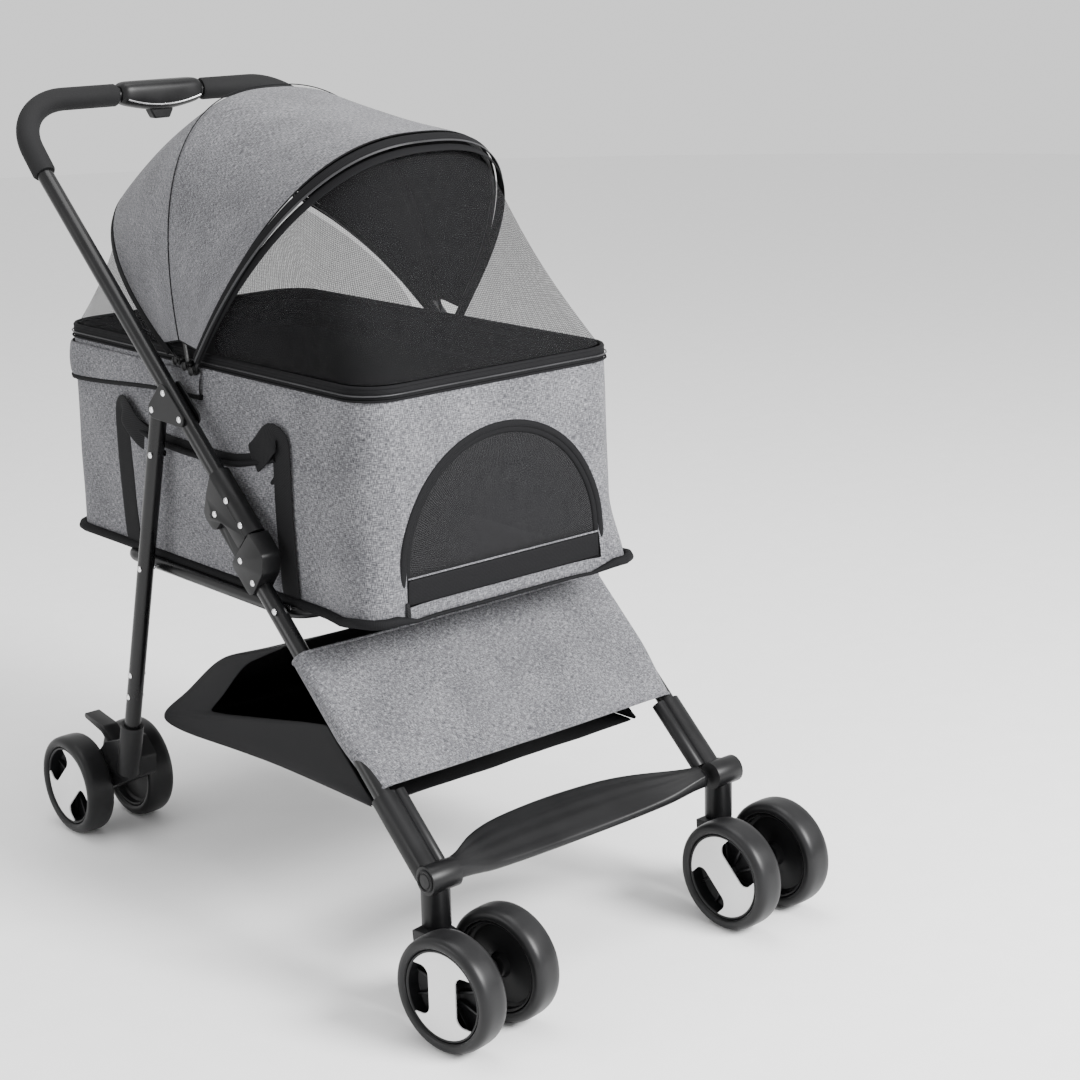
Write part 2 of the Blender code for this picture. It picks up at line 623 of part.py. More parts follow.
def build_carrier():
    made = bmesh.new()
    outer = [[made.verts.new(place) for place in ring] for ring in carrier_skin(0.0)]
    inner_points = carrier_skin(FABRIC)
    floor = CARRIER_Z[0] + 0.0045
    inner_points[0] = [(x, y, floor) for x, y, _ in inner_points[0]]
    inner = [[made.verts.new(place) for place in ring] for ring in reversed(inner_points)]
    loft(made, outer + inner, closed_ring=True)
    shell = mesh_object("carrier_shell", made, "grey_fabric")
    cut(shell, door_outline(0.0, CARRIER_Y[0] - 0.02, CARRIER_Y[0] + 0.03, "doorway"))
    for name, (y, z, _, _) in HOOPS.items():
        for side_name, side in SIDES:
            join(shell, cylinder("pivot_%s_%s" % (name, side_name),
                                 (side * (CARRIER_HALF - 0.0020), y, z),
                                 (side * (HOOP_HALF + 0.0030), y, z), 0.0020, None, 12))
    door_outline(-0.0012, CARRIER_Y[0], CARRIER_Y[0] + 0.0030, "front_door", "mesh_fabric")
    low, high = floor + GAP, floor + 0.0120
    made = bmesh.new()
    rings = [carrier_ring(CARRIER_HALF - 0.014, CARRIER_Y[0] + 0.018, CARRIER_Y[1] - 0.018,
                          0.024, height) for height in (low, high)]
    loft(made, [[made.verts.new(place) for place in ring] for ring in rings], closed_ring=True)
    bevel(mesh_object("mat", made, "mat_fabric"), 0.003)


def build_support_frame():
    """One tube bent to a ring under the carrier, bored for the rear legs' rail pins."""
    corners = [(-FRAME_X, FRAME_Y[0]), (FRAME_X, FRAME_Y[0]), (FRAME_X, FRAME_Y[1]),
               (-FRAME_X, FRAME_Y[1])]
    path = [(x, y, FRAME_Z) for x, y in round_corners(corners, 0.030, 5)]
    frame = tube("support_frame", path, FRAME_R, "frame_paint", 3, True)
    for side_name, side in SIDES:
        cut(frame, cylinder("bore_rail_" + side_name, side_point(side, RAIL_PIVOT, 0.185),
                            side_point(side, RAIL_PIVOT, 0.215), 0.0034, None, 16))


def arch(pivot_y, pivot_z, tilt, half, height, start=0.0, steps=20):
    """Points of a canopy hoop: half a superellipse in a plane tilted forward."""
    rise = Vector((0.0, -math.sin(math.radians(tilt)), math.cos(math.radians(tilt))))
    foot = Vector((0.0, pivot_y, pivot_z))
    points = []
    for step in range(steps + 1):
        angle = start + (math.pi - 2 * start) * step / steps
        across = math.copysign(abs(math.cos(angle)) ** 0.8, -math.cos(angle)) * half
        points.append(foot + Vector((across, 0.0, 0.0)) + rise * height * math.sin(angle) ** 0.8)
    return points


def build_hoops():
    for name, (pivot_y, pivot_z, tilt, height) in HOOPS.items():
        path = arch(pivot_y, pivot_z, tilt, HOOP_HALF, height)
        path[0] = Vector((-HOOP_HALF, pivot_y, pivot_z))
        path[-1] = Vector((HOOP_HALF, pivot_y, pivot_z))
        hoop = tube(name, path, HOOP_R, "frame_paint", 1)
        for side_name, side in SIDES:
            ends = [(side * (HOOP_HALF + step), pivot_y, pivot_z)
                    for step in (-0.0024, 0.0024, -0.0060, 0.0060)]
            join(hoop, cylinder(name + "_eye_" + side_name, *ends[:2], 0.0055, None, 16))
            cut(hoop, cylinder(name + "_bore_" + side_name, *ends[2:], 0.0024, None, 12))


def skin_solid(name, grid, thickness, material):
    """A closed sheet: a grid of points, thickened towards its inner side."""
    made = bmesh.new()
    rows = [[made.verts.new(place) for place in row] for row in grid]
    loft(made, rows, closed_ring=False, caps=False)
    sheet = mesh_object(name, made, material, 60.0)
    step = sheet.modifiers.new("thickness", "SOLIDIFY")
    step.thickness = thickness
    step.offset = 0.0
    return sheet


def between(first, second, part):
    return tuple(a + (b - a) * part for a, b in zip(first, second))


def canopy_grid(clearance):
    """Rows of the canopy, stretched straight from the rear hoop over the others."""
    ribs = []
    for name in ("rear_hoop", "mid_hoop", "front_hoop"):
        pivot_y, pivot_z, tilt, height = HOOPS[name]
        ribs.append(arch(pivot_y, pivot_z, tilt, HOOP_HALF + clearance, height + clearance, 0.10))
    rows = [ribs[0]]
    for first, second in zip(ribs, ribs[1:]):
        for part in (1 / 3, 2 / 3, 1.0):
            rows.append([start.lerp(end, part) for start, end in zip(first, second)])
    return rows


def rim_path(front, steps):
    """Points along the carrier's rim, from one hoop's foot round to the other side."""
    corner, level = 0.046, CARRIER_Z[1] + 0.0050
    end_y = CARRIER_Y[0] + 0.004 if front else CARRIER_Y[1] - 0.004
    turn_side = -1 if front else 1
    start_y = HOOPS["front_hoop"][0] - 0.030 if front else HOOPS["rear_hoop"][0] + 0.030
    half = CARRIER_HALF - 0.004
    path = [(-half, start_y)]
    for step in range(7):
        angle = math.pi / 2 * step / 6
        path.append((-half + corner * (1 - math.cos(angle)),
                     end_y - turn_side * corner * (1 - math.sin(angle))))
    path += [(-x, y) for x, y in reversed(path)]
    lengths = [0.0]
    for first, second in zip(path, path[1:]):
        lengths.append(lengths[-1] + math.dist(first, second))
    points = []
    for step in range(steps + 1):
        goal = lengths[-1] * step / steps
        index = max(i for i in range(len(path) - 1) if lengths[i] <= goal + 1e-9)
        part = (goal - lengths[index]) / (lengths[index + 1] - lengths[index])
        x, y = between(path[index], path[index + 1], part)
        points.append(Vector((x, y, level)))
    return points


def build_canopy():
    skin_solid("canopy", canopy_grid(0.0047), 0.0020, "grey_fabric")
    steps = 20
    for name, hoop_name, front in (("front_mesh", "front_hoop", True),
                                   ("rear_mesh", "rear_hoop", False)):
        pivot_y, pivot_z, tilt, height = HOOPS[hoop_name]
        lean = 2.0 if front else -2.0
        top = arch(pivot_y, pivot_z, tilt + lean, HOOP_HALF - 0.0060, height - 0.0040, 0.26, steps)
        rim = rim_path(front, steps)
        grid = [[start.lerp(end, part / 2) for start, end in zip(top, rim)] for part in range(3)]
        skin_solid(name, grid, 0.0014, "mesh_fabric")


def build_carry_handle(side_name, side):
    """Webbing handle sewn to the carrier's side: two uprights and a drooping loop."""
    x = side * (CARRIER_HALF + 0.0022)
    rear, front, wide = 0.2940, -0.0570, 0.0190
    outer = [(rear + 0.010, 0.4140), (rear, 0.5700), (rear - 0.0300, 0.6020), (0.1800, 0.5760),
             (0.0700, 0.5660), (-0.0100, 0.5900), (-0.0400, 0.6080), (front - 0.0100, 0.5900),
             (front + 0.006, 0.4140)]
    left_edge, right_edge = [], []
    for index, place in enumerate(outer):
        before = Vector(outer[max(index - 1, 0)])
        after = Vector(outer[min(index + 1, len(outer) - 1)])
        run = (after - before).normalized()
        square = Vector((-run.y, run.x)) * wide
        left_edge.append(tuple(Vector(place) + square))
        right_edge.append(tuple(Vector(place) - square))
    plate("carry_handle_" + side_name, left_edge + right_edge[::-1], x - 0.0010, x + 0.0010,
          "black_fabric")


# ---- leg panel and basket ------------------------------------------------------------
def build_leg_panel():
    under = LEG_OFFSET - TUBE_R
    outline = [along(0.2070, under - 0.0060), along(0.3930, under - 0.0060),
               along(0.3930, under - 0.0012), along(0.2070, under - 0.0012)]
    plate("leg_panel", outline, -0.2340, 0.2340, "grey_fabric")


def build_basket():
    """Open tray hung behind the front legs: floor, two gussets and a front wall."""
    side_line = [(-0.0560, 0.3560), (0.0900, 0.3050), (0.2360, 0.1930), (0.1820, 0.1830),
                 (0.0660, 0.1960), (-0.0400, 0.2010), (-0.2250, 0.2010), (-0.2250, 0.2060)]
    inner_line = [(-0.0560, 0.3700), (0.0900, 0.3120), (0.2500, 0.1960), (0.1815, 0.1862),
                  (0.0660, 0.1990), (-0.0400, 0.2040), (-0.2180, 0.2040), (-0.2160, 0.2080)]
    tray = plate("basket", side_line, -0.2060, 0.2060, "black_fabric")
    cut(tray, plate("basket_inside", inner_line, -0.2030, 0.2030))


# ---- assembly ------------------------------------------------------------------------
def main():
    build_handle()
    for side_name, side in SIDES:
        build_rear_leg_bracket(side_name, side)
        build_rear_leg(side_name, side)
        build_rear_wheel_housing(side_name, side)
        build_brake_pedal(side_name, side)
        build_fold_hinge(side_name, side)
        build_lock_slider(side_name, side)
        build_fold_knuckle(side_name, side)
        build_front_leg(side_name, side)
        build_caster(side_name, side)
        centre = (side * REAR_WHEEL_X, *REAR_AXLE)
        build_axle("rear_axle_" + side_name, centre, Matrix.Identity(4), REAR_TWIN_OFFSET)
        build_twin("rear_" + side_name, centre, Matrix.Identity(4), side, REAR_TWIN_OFFSET)
        build_carry_handle(side_name, side)
    build_footrest_bar()
    build_support_frame()
    build_carrier()
    build_hoops()
    build_canopy()
    build_leg_panel()
    build_basket()


main()
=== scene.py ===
"""Looks of the folding pet stroller: fabrics, tubes, wheels, studio light and camera.

Metres, +Z up, the floor at z = 0; the stroller's front faces -Y.  Wheels and mat are placed
from the frame's joints and boxes, the other pieces from the dimensions below, and every piece
rides on the frame's bodies except the canopy cloth, its middle seam and sleeve and the front net.
"""
import json
import math

import bmesh
import bpy
from mathutils import Matrix, Vector


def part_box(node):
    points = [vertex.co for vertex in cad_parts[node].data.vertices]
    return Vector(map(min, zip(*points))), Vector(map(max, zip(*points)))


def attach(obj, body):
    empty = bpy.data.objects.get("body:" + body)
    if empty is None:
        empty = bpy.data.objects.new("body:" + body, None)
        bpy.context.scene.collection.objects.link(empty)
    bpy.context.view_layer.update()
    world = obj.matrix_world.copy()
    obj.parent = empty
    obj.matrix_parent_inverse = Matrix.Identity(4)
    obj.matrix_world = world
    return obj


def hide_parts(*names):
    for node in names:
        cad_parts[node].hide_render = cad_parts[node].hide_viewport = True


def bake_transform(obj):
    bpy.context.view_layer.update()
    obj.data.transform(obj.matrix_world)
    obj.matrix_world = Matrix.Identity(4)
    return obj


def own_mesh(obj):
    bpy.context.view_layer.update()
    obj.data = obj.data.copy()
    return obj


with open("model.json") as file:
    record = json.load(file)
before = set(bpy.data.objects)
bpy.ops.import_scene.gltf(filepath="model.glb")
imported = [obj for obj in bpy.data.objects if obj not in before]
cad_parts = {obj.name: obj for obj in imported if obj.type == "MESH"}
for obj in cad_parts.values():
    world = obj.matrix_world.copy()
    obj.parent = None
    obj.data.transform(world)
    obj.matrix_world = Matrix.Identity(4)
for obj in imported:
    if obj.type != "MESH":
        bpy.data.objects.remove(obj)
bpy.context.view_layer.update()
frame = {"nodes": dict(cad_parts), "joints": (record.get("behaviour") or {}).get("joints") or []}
JOINTS = {joint["name"]: joint for joint in frame["joints"]}
SIDES = (("left", 1), ("right", -1))


# ---- shader helpers ------------------------------------------------------------------
class Shader:
    """A Principled material and short calls that add nodes to it."""

    def __init__(self, name, colour, roughness, metallic=0.0, coordinates="Object"):
        self.material = bpy.data.materials.new(name)
        self.material.use_nodes = True
        self.nodes = self.material.node_tree.nodes
        self.links = self.material.node_tree.links
        self.surface = self.nodes["Principled BSDF"]
        self.set("Base Color", (*colour, 1.0))
        self.set("Roughness", roughness)
        self.set("Metallic", metallic)
        self.place = self.nodes.new("ShaderNodeTexCoord").outputs[coordinates]

    def set(self, socket, value):
        self.surface.inputs[socket].default_value = value

    def mapped(self, scale):
        node = self.nodes.new("ShaderNodeMapping")
        node.inputs["Scale"].default_value = scale
        self.links.new(self.place, node.inputs["Vector"])
        return node.outputs["Vector"]

    def noise(self, scale, detail=2.0, roughness=0.5):
        node = self.nodes.new("ShaderNodeTexNoise")
        node.inputs["Scale"].default_value = 1.0
        node.inputs["Detail"].default_value = detail
        node.inputs["Roughness"].default_value = roughness
        self.links.new(self.mapped(scale), node.inputs["Vector"])
        return node.outputs["Fac"]

    def bands(self, direction, period):
        """Sine bands across X, Y or DIAGONAL, one each period."""
        node = self.nodes.new("ShaderNodeTexWave")
        node.bands_direction = direction
        node.inputs["Scale"].default_value = math.tau / 20 / period
        self.links.new(self.place, node.inputs["Vector"])
        return node.outputs["Fac"]

    def math(self, operation, first, second):
        node = self.nodes.new("ShaderNodeMath")
        node.operation = operation
        for socket, value in zip(node.inputs, (first, second)):
            if isinstance(value, (int, float)):
                socket.default_value = value
            else:
                self.links.new(value, socket)
        return node.outputs[0]

    def ramp(self, factor, stops, socket):
        """Colour ramp of (position, colour or grey) stops into a surface socket."""
        node = self.nodes.new("ShaderNodeValToRGB")
        elements = node.color_ramp.elements
        while len(elements) < len(stops):
            elements.new(0.5)
        for element, (position, colour) in zip(elements, stops):
            element.position = position
            grey = isinstance(colour, (int, float))
            element.color = (colour, colour, colour, 1.0) if grey else (*colour, 1.0)
        self.links.new(factor, node.inputs["Fac"])
        self.links.new(node.outputs["Color"], self.surface.inputs[socket])

    def bump(self, height, strength, distance):
        node = self.nodes.new("ShaderNodeBump")
        node.inputs["Strength"].default_value = strength
        node.inputs["Distance"].default_value = distance
        self.links.new(height, node.inputs["Height"])
        self.links.new(node.outputs["Normal"], self.surface.inputs["Normal"])
        return self.material


def woven_grey():
    """Melange canvas: light and dark yarns crossing, with a fuzzy sheen."""
    cloth = Shader("woven_grey", (0.2, 0.2, 0.21), 0.9, coordinates="UV")
    warp = cloth.noise((1300, 170, 1), 2.0, 0.6)
    weft = cloth.noise((150, 1250, 1), 2.0, 0.6)
    yarns = cloth.math("ADD", cloth.math("MULTIPLY", warp, 0.5), cloth.math("MULTIPLY", weft, 0.5))
    blotches = cloth.noise((14, 14, 1), 3.0)
    mixed = cloth.math("ADD", yarns, cloth.math("MULTIPLY", blotches, 0.10))
    cloth.ramp(mixed, ((0.40, (0.026, 0.026, 0.029)), (0.54, (0.092, 0.092, 0.100)),
                       (0.68, (0.29, 0.29, 0.305))), "Base Color")
    cloth.set("Sheen Weight", 0.10)
    cloth.set("Specular IOR Level", 0.15)
    weave = cloth.math("MULTIPLY", cloth.bands("X", 0.0011), cloth.bands("Y", 0.0011))
    return cloth.bump(cloth.math("ADD", weave, yarns), 0.35, 0.0006)


def black_cloth(name, dark, light, period, direction, roughness=0.75):
    """Black lining or webbing with fine ribs."""
    cloth = Shader(name, dark, roughness, coordinates="UV")
    ribs = cloth.math("ADD", cloth.bands(direction, period), cloth.noise((500, 500, 1), 2.0))
    cloth.ramp(cloth.math("MULTIPLY", ribs, 0.6), ((0.25, dark), (0.9, light)), "Base Color")
    cloth.set("Specular IOR Level", 0.12)
    return cloth.bump(ribs, 0.30, 0.0005)


def open_mesh(name, low, high, period=0.0021):
    """Knitted mesh: dark threads with holes, as a see-through pattern."""
    cloth = Shader(name, (0.02, 0.02, 0.021), 0.7, coordinates="UV")
    grid = cloth.math("MAXIMUM", cloth.bands("X", period), cloth.bands("Y", period))
    thread = cloth.math("ADD", grid, cloth.math("MULTIPLY", cloth.noise((60, 60, 1)), 0.2))
    cloth.ramp(thread, ((0.62, low), (1.0, high)), "Alpha")
    cloth.ramp(thread, ((0.6, (0.006, 0.006, 0.0065)), (1.0, (0.020, 0.020, 0.021))), "Base Color")
    cloth.set("Specular IOR Level", 0.08)
    return cloth.bump(grid, 0.2, 0.0003)


def hard(name, colour, roughness, metallic=0.0, grain=1800, depth=0.00008, coat=0.0, wear=0.25):
    """Painted metal, moulded plastic, foam or rubber with a fine grain."""
    made = Shader(name, colour, roughness, metallic)
    grains = made.noise((grain, grain, grain), 3.0)
    patches = made.noise((22, 22, 22), 4.0)
    lighter = tuple(min(1.0, value * (1 + wear)) for value in colour)
    darker = tuple(value * (1 - wear * 0.6) for value in colour)
    made.ramp(patches, ((0.35, darker), (0.65, lighter)), "Base Color")
    made.ramp(patches, ((0.3, max(0.0, roughness - 0.06)), (0.7, min(1.0, roughness + 0.06))),
              "Roughness")
    made.set("Specular IOR Level", 0.5 if metallic > 0.5 else 0.24)
    made.set("Coat Weight", coat)
    made.set("Coat Roughness", 0.25)
    return made.bump(grains, 0.25, depth)


CLOTH = woven_grey()
LINING = black_cloth("black_lining", (0.004, 0.004, 0.0044), (0.011, 0.011, 0.012), 0.0013, "X")
BINDING = black_cloth("black_binding", (0.003, 0.003, 0.0033), (0.008, 0.008, 0.009), 0.0016, "Y")
WEBBING = black_cloth("black_webbing", (0.004, 0.004, 0.0045), (0.013, 0.013, 0.014), 0.0018,
                      "DIAGONAL")
BASKET_CLOTH = black_cloth("basket_cloth", (0.005, 0.005, 0.0055), (0.013, 0.013, 0.014), 0.0012,
                           "X", 0.6)
PET_MAT = black_cloth("mat_pile", (0.014, 0.014, 0.015), (0.05, 0.05, 0.052), 0.0016, "X", 0.95)
CANOPY_MESH = open_mesh("canopy_mesh", 0.10, 0.66, 0.0025)
DOOR_MESH = open_mesh("door_mesh", 0.70, 0.96, 0.0016)
PAINT = hard("black_powder_coat", (0.005, 0.005, 0.0054), 0.30, 0.0, 2600, 0.00006, 0.15)
PLASTIC = hard("black_plastic", (0.005, 0.005, 0.0054), 0.40, 0.0, 1500, 0.00010)
FOAM = hard("grip_foam", (0.008, 0.008, 0.0085), 0.80, 0.0, 900, 0.0004)
TYRE = hard("tyre_foam", (0.009, 0.009, 0.0095), 0.38, 0.0, 1200, 0.00012)
RIM = hard("rim_plastic", (0.006, 0.006, 0.0065), 0.35, 0.0, 1300, 0.00008)
HUB = hard("hub_plate", (0.74, 0.74, 0.74), 0.42, 0.0, 1600, 0.00005, 0.1, 0.03)
STEEL = hard("rivet_steel", (0.80, 0.80, 0.81), 0.22, 1.0, 700, 0.00003, 0.0, 0.05)
ZIP = hard("zip_teeth", (0.035, 0.035, 0.037), 0.35, 0.3, 400, 0.0004)


# ---- mesh helpers --------------------------------------------------------------------
def place_piece(piece, body, stands_for=()):
    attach(piece, body)
    if stands_for:
        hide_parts(*stands_for)
    return piece


def new_object(name, mesh_data, materials, angle=40.0):
    data = bpy.data.meshes.new(name)
    mesh_data.to_mesh(data)
    mesh_data.free()
    for material in materials if isinstance(materials, (list, tuple)) else (materials,):
        data.materials.append(material)
    data.shade_smooth()
    data.set_sharp_from_angle(angle=math.radians(angle))
    item = bpy.data.objects.new(name, data)
    bpy.context.scene.collection.objects.link(item)
    return item


def apply_all(item):
    """Bake an object's modifiers and transform into its mesh."""
    bpy.context.view_layer.update()
    graph = bpy.context.evaluated_depsgraph_get()
    data = bpy.data.meshes.new_from_object(item.evaluated_get(graph))
    data.transform(item.matrix_world)
    item.modifiers.clear()
    item.data = data
    item.matrix_world = Matrix.Identity(4)
    return item


def add_face(made, uv, corners, spots):
    face = made.faces.new(corners)
    for loop, spot in zip(face.loops, spots):
        loop[uv].uv = spot


def grid_piece(name, rows, materials, thickness=0.0, closed=False, smooth=1, inner=0, angle=60.0):
    """A cloth or panel from rows of points, with UVs in metres along rows and columns."""
    made = bmesh.new()
    uv = made.loops.layers.uv.new("UVMap")
    rows = [[Vector(place) for place in row] for row in rows]
    verts = [[made.verts.new(place) for place in row] for row in rows]
    count = len(rows[0])
    middle = rows[len(rows) // 2]
    along, across = [0.0], [0.0]
    for index in range(count):
        along.append(along[-1] + (middle[(index + 1) % count] - middle[index]).length)
    spine = count // 2
    for first, second in zip(rows, rows[1:]):
        across.append(across[-1] + (second[spine] - first[spine]).length)
    for row in range(len(rows) - 1):
        for column in range(count if closed else count - 1):
            after = (column + 1) % count
            add_face(made, uv,
                     (verts[row][column], verts[row][after],
                      verts[row + 1][after], verts[row + 1][column]),
                     ((along[column], across[row]), (along[column + 1], across[row]),
                      (along[column + 1], across[row + 1]), (along[column], across[row + 1])))
    item = new_object(name, made, materials, angle)
    if thickness:
        solid = item.modifiers.new("thickness", "SOLIDIFY")
        solid.thickness = thickness
        solid.offset = 0.0
        solid.material_offset = inner
        solid.material_offset_rim = inner
    if smooth:
        step = item.modifiers.new("smooth", "SUBSURF")
        step.levels = step.render_levels = smooth
    return apply_all(item)


def sweep(name, path, radius, material, sides=16, closed=False, squash=1.0, up=None):
    """A round or flattened cord along a path; radius may be a list, one for each point."""
    path = [Vector(place) for place in path]
    count = len(path)
    made = bmesh.new()
    uv = made.loops.layers.uv.new("UVMap")
    rings, reach, travelled = [], 0.0, []
    normal = Vector(up) if up else None
    for index, place in enumerate(path):
        before = path[index - 1] if index or closed else place
        after = path[(index + 1) % count] if index < count - 1 or closed else place
        run = (after - before).normalized()
        if normal is None:
            normal = run.orthogonal()
        normal = (normal - run * normal.dot(run)).normalized()
        side = run.cross(normal)
        size = radius[index] if isinstance(radius, list) else radius
        rings.append([made.verts.new(place + normal * math.cos(turn) * size * squash
                                     + side * math.sin(turn) * size)
                      for turn in (math.tau * step / sides for step in range(sides))])
        travelled.append(reach)
        reach += (path[(index + 1) % count] - place).length
    around = math.tau * (radius[0] if isinstance(radius, list) else radius) / sides
    pairs = list(zip(range(count), range(1, count))) + ([(count - 1, 0)] if closed else [])
    for first, second in pairs:
        for step in range(sides):
            after = (step + 1) % sides
            low, high = step * around, (step + 1) * around
            begin, end = travelled[first], travelled[second] if second else reach
            add_face(made, uv,
                     (rings[first][step], rings[first][after],
                      rings[second][after], rings[second][step]),
                     ((low, begin), (high, begin), (high, end), (low, end)))
    if not closed:
        made.faces.new(rings[0])
        made.faces.new(rings[-1])
    bmesh.ops.recalc_face_normals(made, faces=made.faces)
    return new_object(name, made, material, 50.0)


def ribbon(name, path, faces, width, material, thickness=0.0016):
    """Flat webbing along a path; faces gives the direction its flat side looks."""
    path = [Vector(place) for place in path]
    rows = []
    for index, place in enumerate(path):
        run = (path[min(index + 1, len(path) - 1)] - path[max(index - 1, 0)]).normalized()
        face = Vector(faces[index] if isinstance(faces, list) else faces)
        side = run.cross(face).normalized() * width / 2
        rows.append([place - side, place - side * 0.33, place + side * 0.33, place + side])
    return grid_piece(name, rows, material, thickness, smooth=1)


def revolve(name, profile, centre, axis, material, segments=64, angle=35.0):
    """Turn a (radius, height) outline about an axis through a point."""
    made = bmesh.new()
    points = [made.verts.new((radius, 0.0, height)) for radius, height in profile]
    edges = [made.edges.new(pair) for pair in zip(points, points[1:] + points[:1])]
    bmesh.ops.spin(made, geom=points + edges, cent=(0, 0, 0), axis=(0, 0, 1),
                   angle=math.tau, steps=segments, use_duplicate=False)
    bmesh.ops.remove_doubles(made, verts=made.verts, dist=1e-6)
    bmesh.ops.recalc_face_normals(made, faces=made.faces)
    made.transform(aim(centre, axis))
    return new_object(name, made, material, angle)


def aim(centre, axis, roll_up=(0, 0, 1)):
    """Matrix with local Z along axis and local Y as near to roll_up as it can be."""
    z = Vector(axis).normalized()
    x = Vector(roll_up).cross(z)
    x = x.normalized() if x.length > 1e-4 else z.orthogonal().normalized()
    y = z.cross(x)
    turn = Matrix((x, y, z)).transposed().to_4x4()
    return Matrix.Translation(Vector(centre)) @ turn


def outline_solid(name, outline, low, high, place, material, rounding=0.0008, angle=40.0):
    """Extrude an (x, y) outline from low to high in a local frame, with rounded edges."""
    made = bmesh.new()
    face = made.faces.new([made.verts.new((x, y, low)) for x, y in outline])
    grown = bmesh.ops.extrude_face_region(made, geom=[face])["geom"]
    top = [part for part in grown if isinstance(part, bmesh.types.BMVert)]
    bmesh.ops.translate(made, verts=top, vec=(0.0, 0.0, high - low))
    bmesh.ops.recalc_face_normals(made, faces=made.faces)
    made.transform(place)
    item = new_object(name, made, material, angle)
    if rounding:
        step = item.modifiers.new("rounded", "BEVEL")
        step.width, step.segments = rounding, 2
        step.angle_limit = math.radians(35)
    return apply_all(item)


def merge(name, pieces):
    """Join several finished objects into one."""
    with bpy.context.temp_override(active_object=pieces[0], selected_editable_objects=pieces):
        bpy.ops.object.join()
    pieces[0].name = name
    return pieces[0]


def smoothstep(low, high, value):
    part = min(1.0, max(0.0, (value - low) / (high - low)))
    return part * part * (3 - 2 * part)


def arc_points(before, corner, after, radius, steps=10):
    """Points that round the corner of a path."""
    before, corner, after = Vector(before), Vector(corner), Vector(after)
    to_before, to_after = (before - corner).normalized(), (after - corner).normalized()
    half = to_before.angle(to_after) / 2
    centre = corner + (to_before + to_after).normalized() * (radius / math.sin(half))
    reach = radius / math.tan(half)
    first, last = corner + to_before * reach - centre, corner + to_after * reach - centre
    return [centre + first.slerp(last, step / steps).normalized() * radius
            for step in range(steps + 1)]


def curve_through(points, steps=6):
    """Catmull-Rom curve through a list of points."""
    points = [Vector(place) for place in points]
    result = []
    for index in range(len(points) - 1):
        a = points[max(index - 1, 0)]
        b, c = points[index], points[index + 1]
        d = points[min(index + 2, len(points) - 1)]
        for step in range(steps):
            t = step / steps
            result.append(0.5 * ((2 * b) + (c - a) * t + (2 * a - 5 * b + 4 * c - d) * t * t
                                 + (3 * b - a - 3 * c + d) * t * t * t))
    return result + [points[-1]]


def ripple(*values):
    """Smooth repeatable unevenness between -1 and 1."""
    total = 0.0
    for order, value in enumerate(values):
        total += math.sin(value * (1.0 + 0.37 * order) + 1.7 * order)
        total += 0.5 * math.sin(value * 2.3 + 0.9 + order)
    return total / (1.5 * len(values))


# ---- where things are (metres) -------------------------------------------------------
SIDE_X, TUBE_R = 0.221, 0.0105              # planes of the side frames, 21 mm tube
HINGE_ORIGIN = Vector((0.0122, 0.5255))     # (y, z) of the fold hinge's upper rivet
TUBE_SLOPE = math.radians(42.35)
DOWN = Vector((-math.cos(TUBE_SLOPE), -math.sin(TUBE_SLOPE)))
UNDER = Vector((math.sin(TUBE_SLOPE), -math.cos(TUBE_SLOPE)))
LEG_OFFSET = 0.0340
PUSH_BAR = (0.4800, 0.9640)
GRIP_R = 0.0148
REAR_PIVOT, REAR_LEG_END = Vector((0.1633, 0.6126)), Vector((0.3030, 0.1180))
WHEEL_R, TYRE_BORE_R, WHEEL_HALF = 0.0670, 0.0530, 0.0190
HALF, Y_FRONT, Y_BACK = 0.1885, -0.2160, 0.4490         # carrier box
FLOOR_Z, RIM_Z = 0.4090, 0.6790
DOOR_HALF, DOOR_Z = 0.1480, (0.4270, 0.4800, 0.6110)    # doorway: sill, spring line, top
MIDDLE_Y, SIDE_REACH = 0.1165, 0.33         # carrier's middle; how far its side walls belly
DOOR_TAPER, TAPER_TOP = 0.055, 0.56         # doorway's narrowing, full at this height
STRAP_Z = 0.4120                            # foot of the carry straps
SUPPORT_Z, RAIL_PIN = 0.3995, (0.2221, 0.3992)
PANEL_RUN, PANEL_GAP = (0.2070, 0.3930), 0.0032         # leg panel along the tubes, off them
BASKET_HALF = 0.2050
HOOP_HALF = 0.1965
RIM_CORNER, RIM_MARGIN, NET_FOOT_Z = 0.046, 0.004, 0.6835
CAMERA_DEG = (-40.456, 15.567, -1.449)      # azimuth, elevation, roll
CAMERA_PLACE, LENS_MM, SENSOR_MM = (-1.572, -2.1118, 1.1635), 73.07, 36.0
CAMERA_SHIFT = (0.00732, -0.00137)
HOOPS = {"front_hoop": (0.115, 0.662, 36.0, 0.338), "mid_hoop": (0.130, 0.666, -14.0, 0.320),
         "rear_hoop": (0.150, 0.670, -55.0, 0.330)}     # pivot y, z, tilt, height


def along(distance, under=0.0):
    place = HINGE_ORIGIN + DOWN * distance + UNDER * under
    return (place.x, place.y)


def at(side, place, x=SIDE_X):
    return Vector((side * x, place[0], place[1]))


def arch(name, clearance=0.0, lean=0.0, start=0.0, steps=72):
    """Points over a canopy hoop from its right foot to its left one."""
    pivot_y, pivot_z, tilt, height = HOOPS[name]
    tilt = math.radians(tilt + lean)
    rise = Vector((0.0, -math.sin(tilt), math.cos(tilt)))
    points = []
    for step in range(steps + 1):
        angle = start + (math.pi - 2 * start) * step / steps
        across = math.copysign(abs(math.cos(angle)) ** 0.8, -math.cos(angle))
        points.append(Vector((across * (HOOP_HALF + clearance), pivot_y, pivot_z))
                      + rise * (height + clearance) * max(0.0, math.sin(angle)) ** 0.8)
    return points


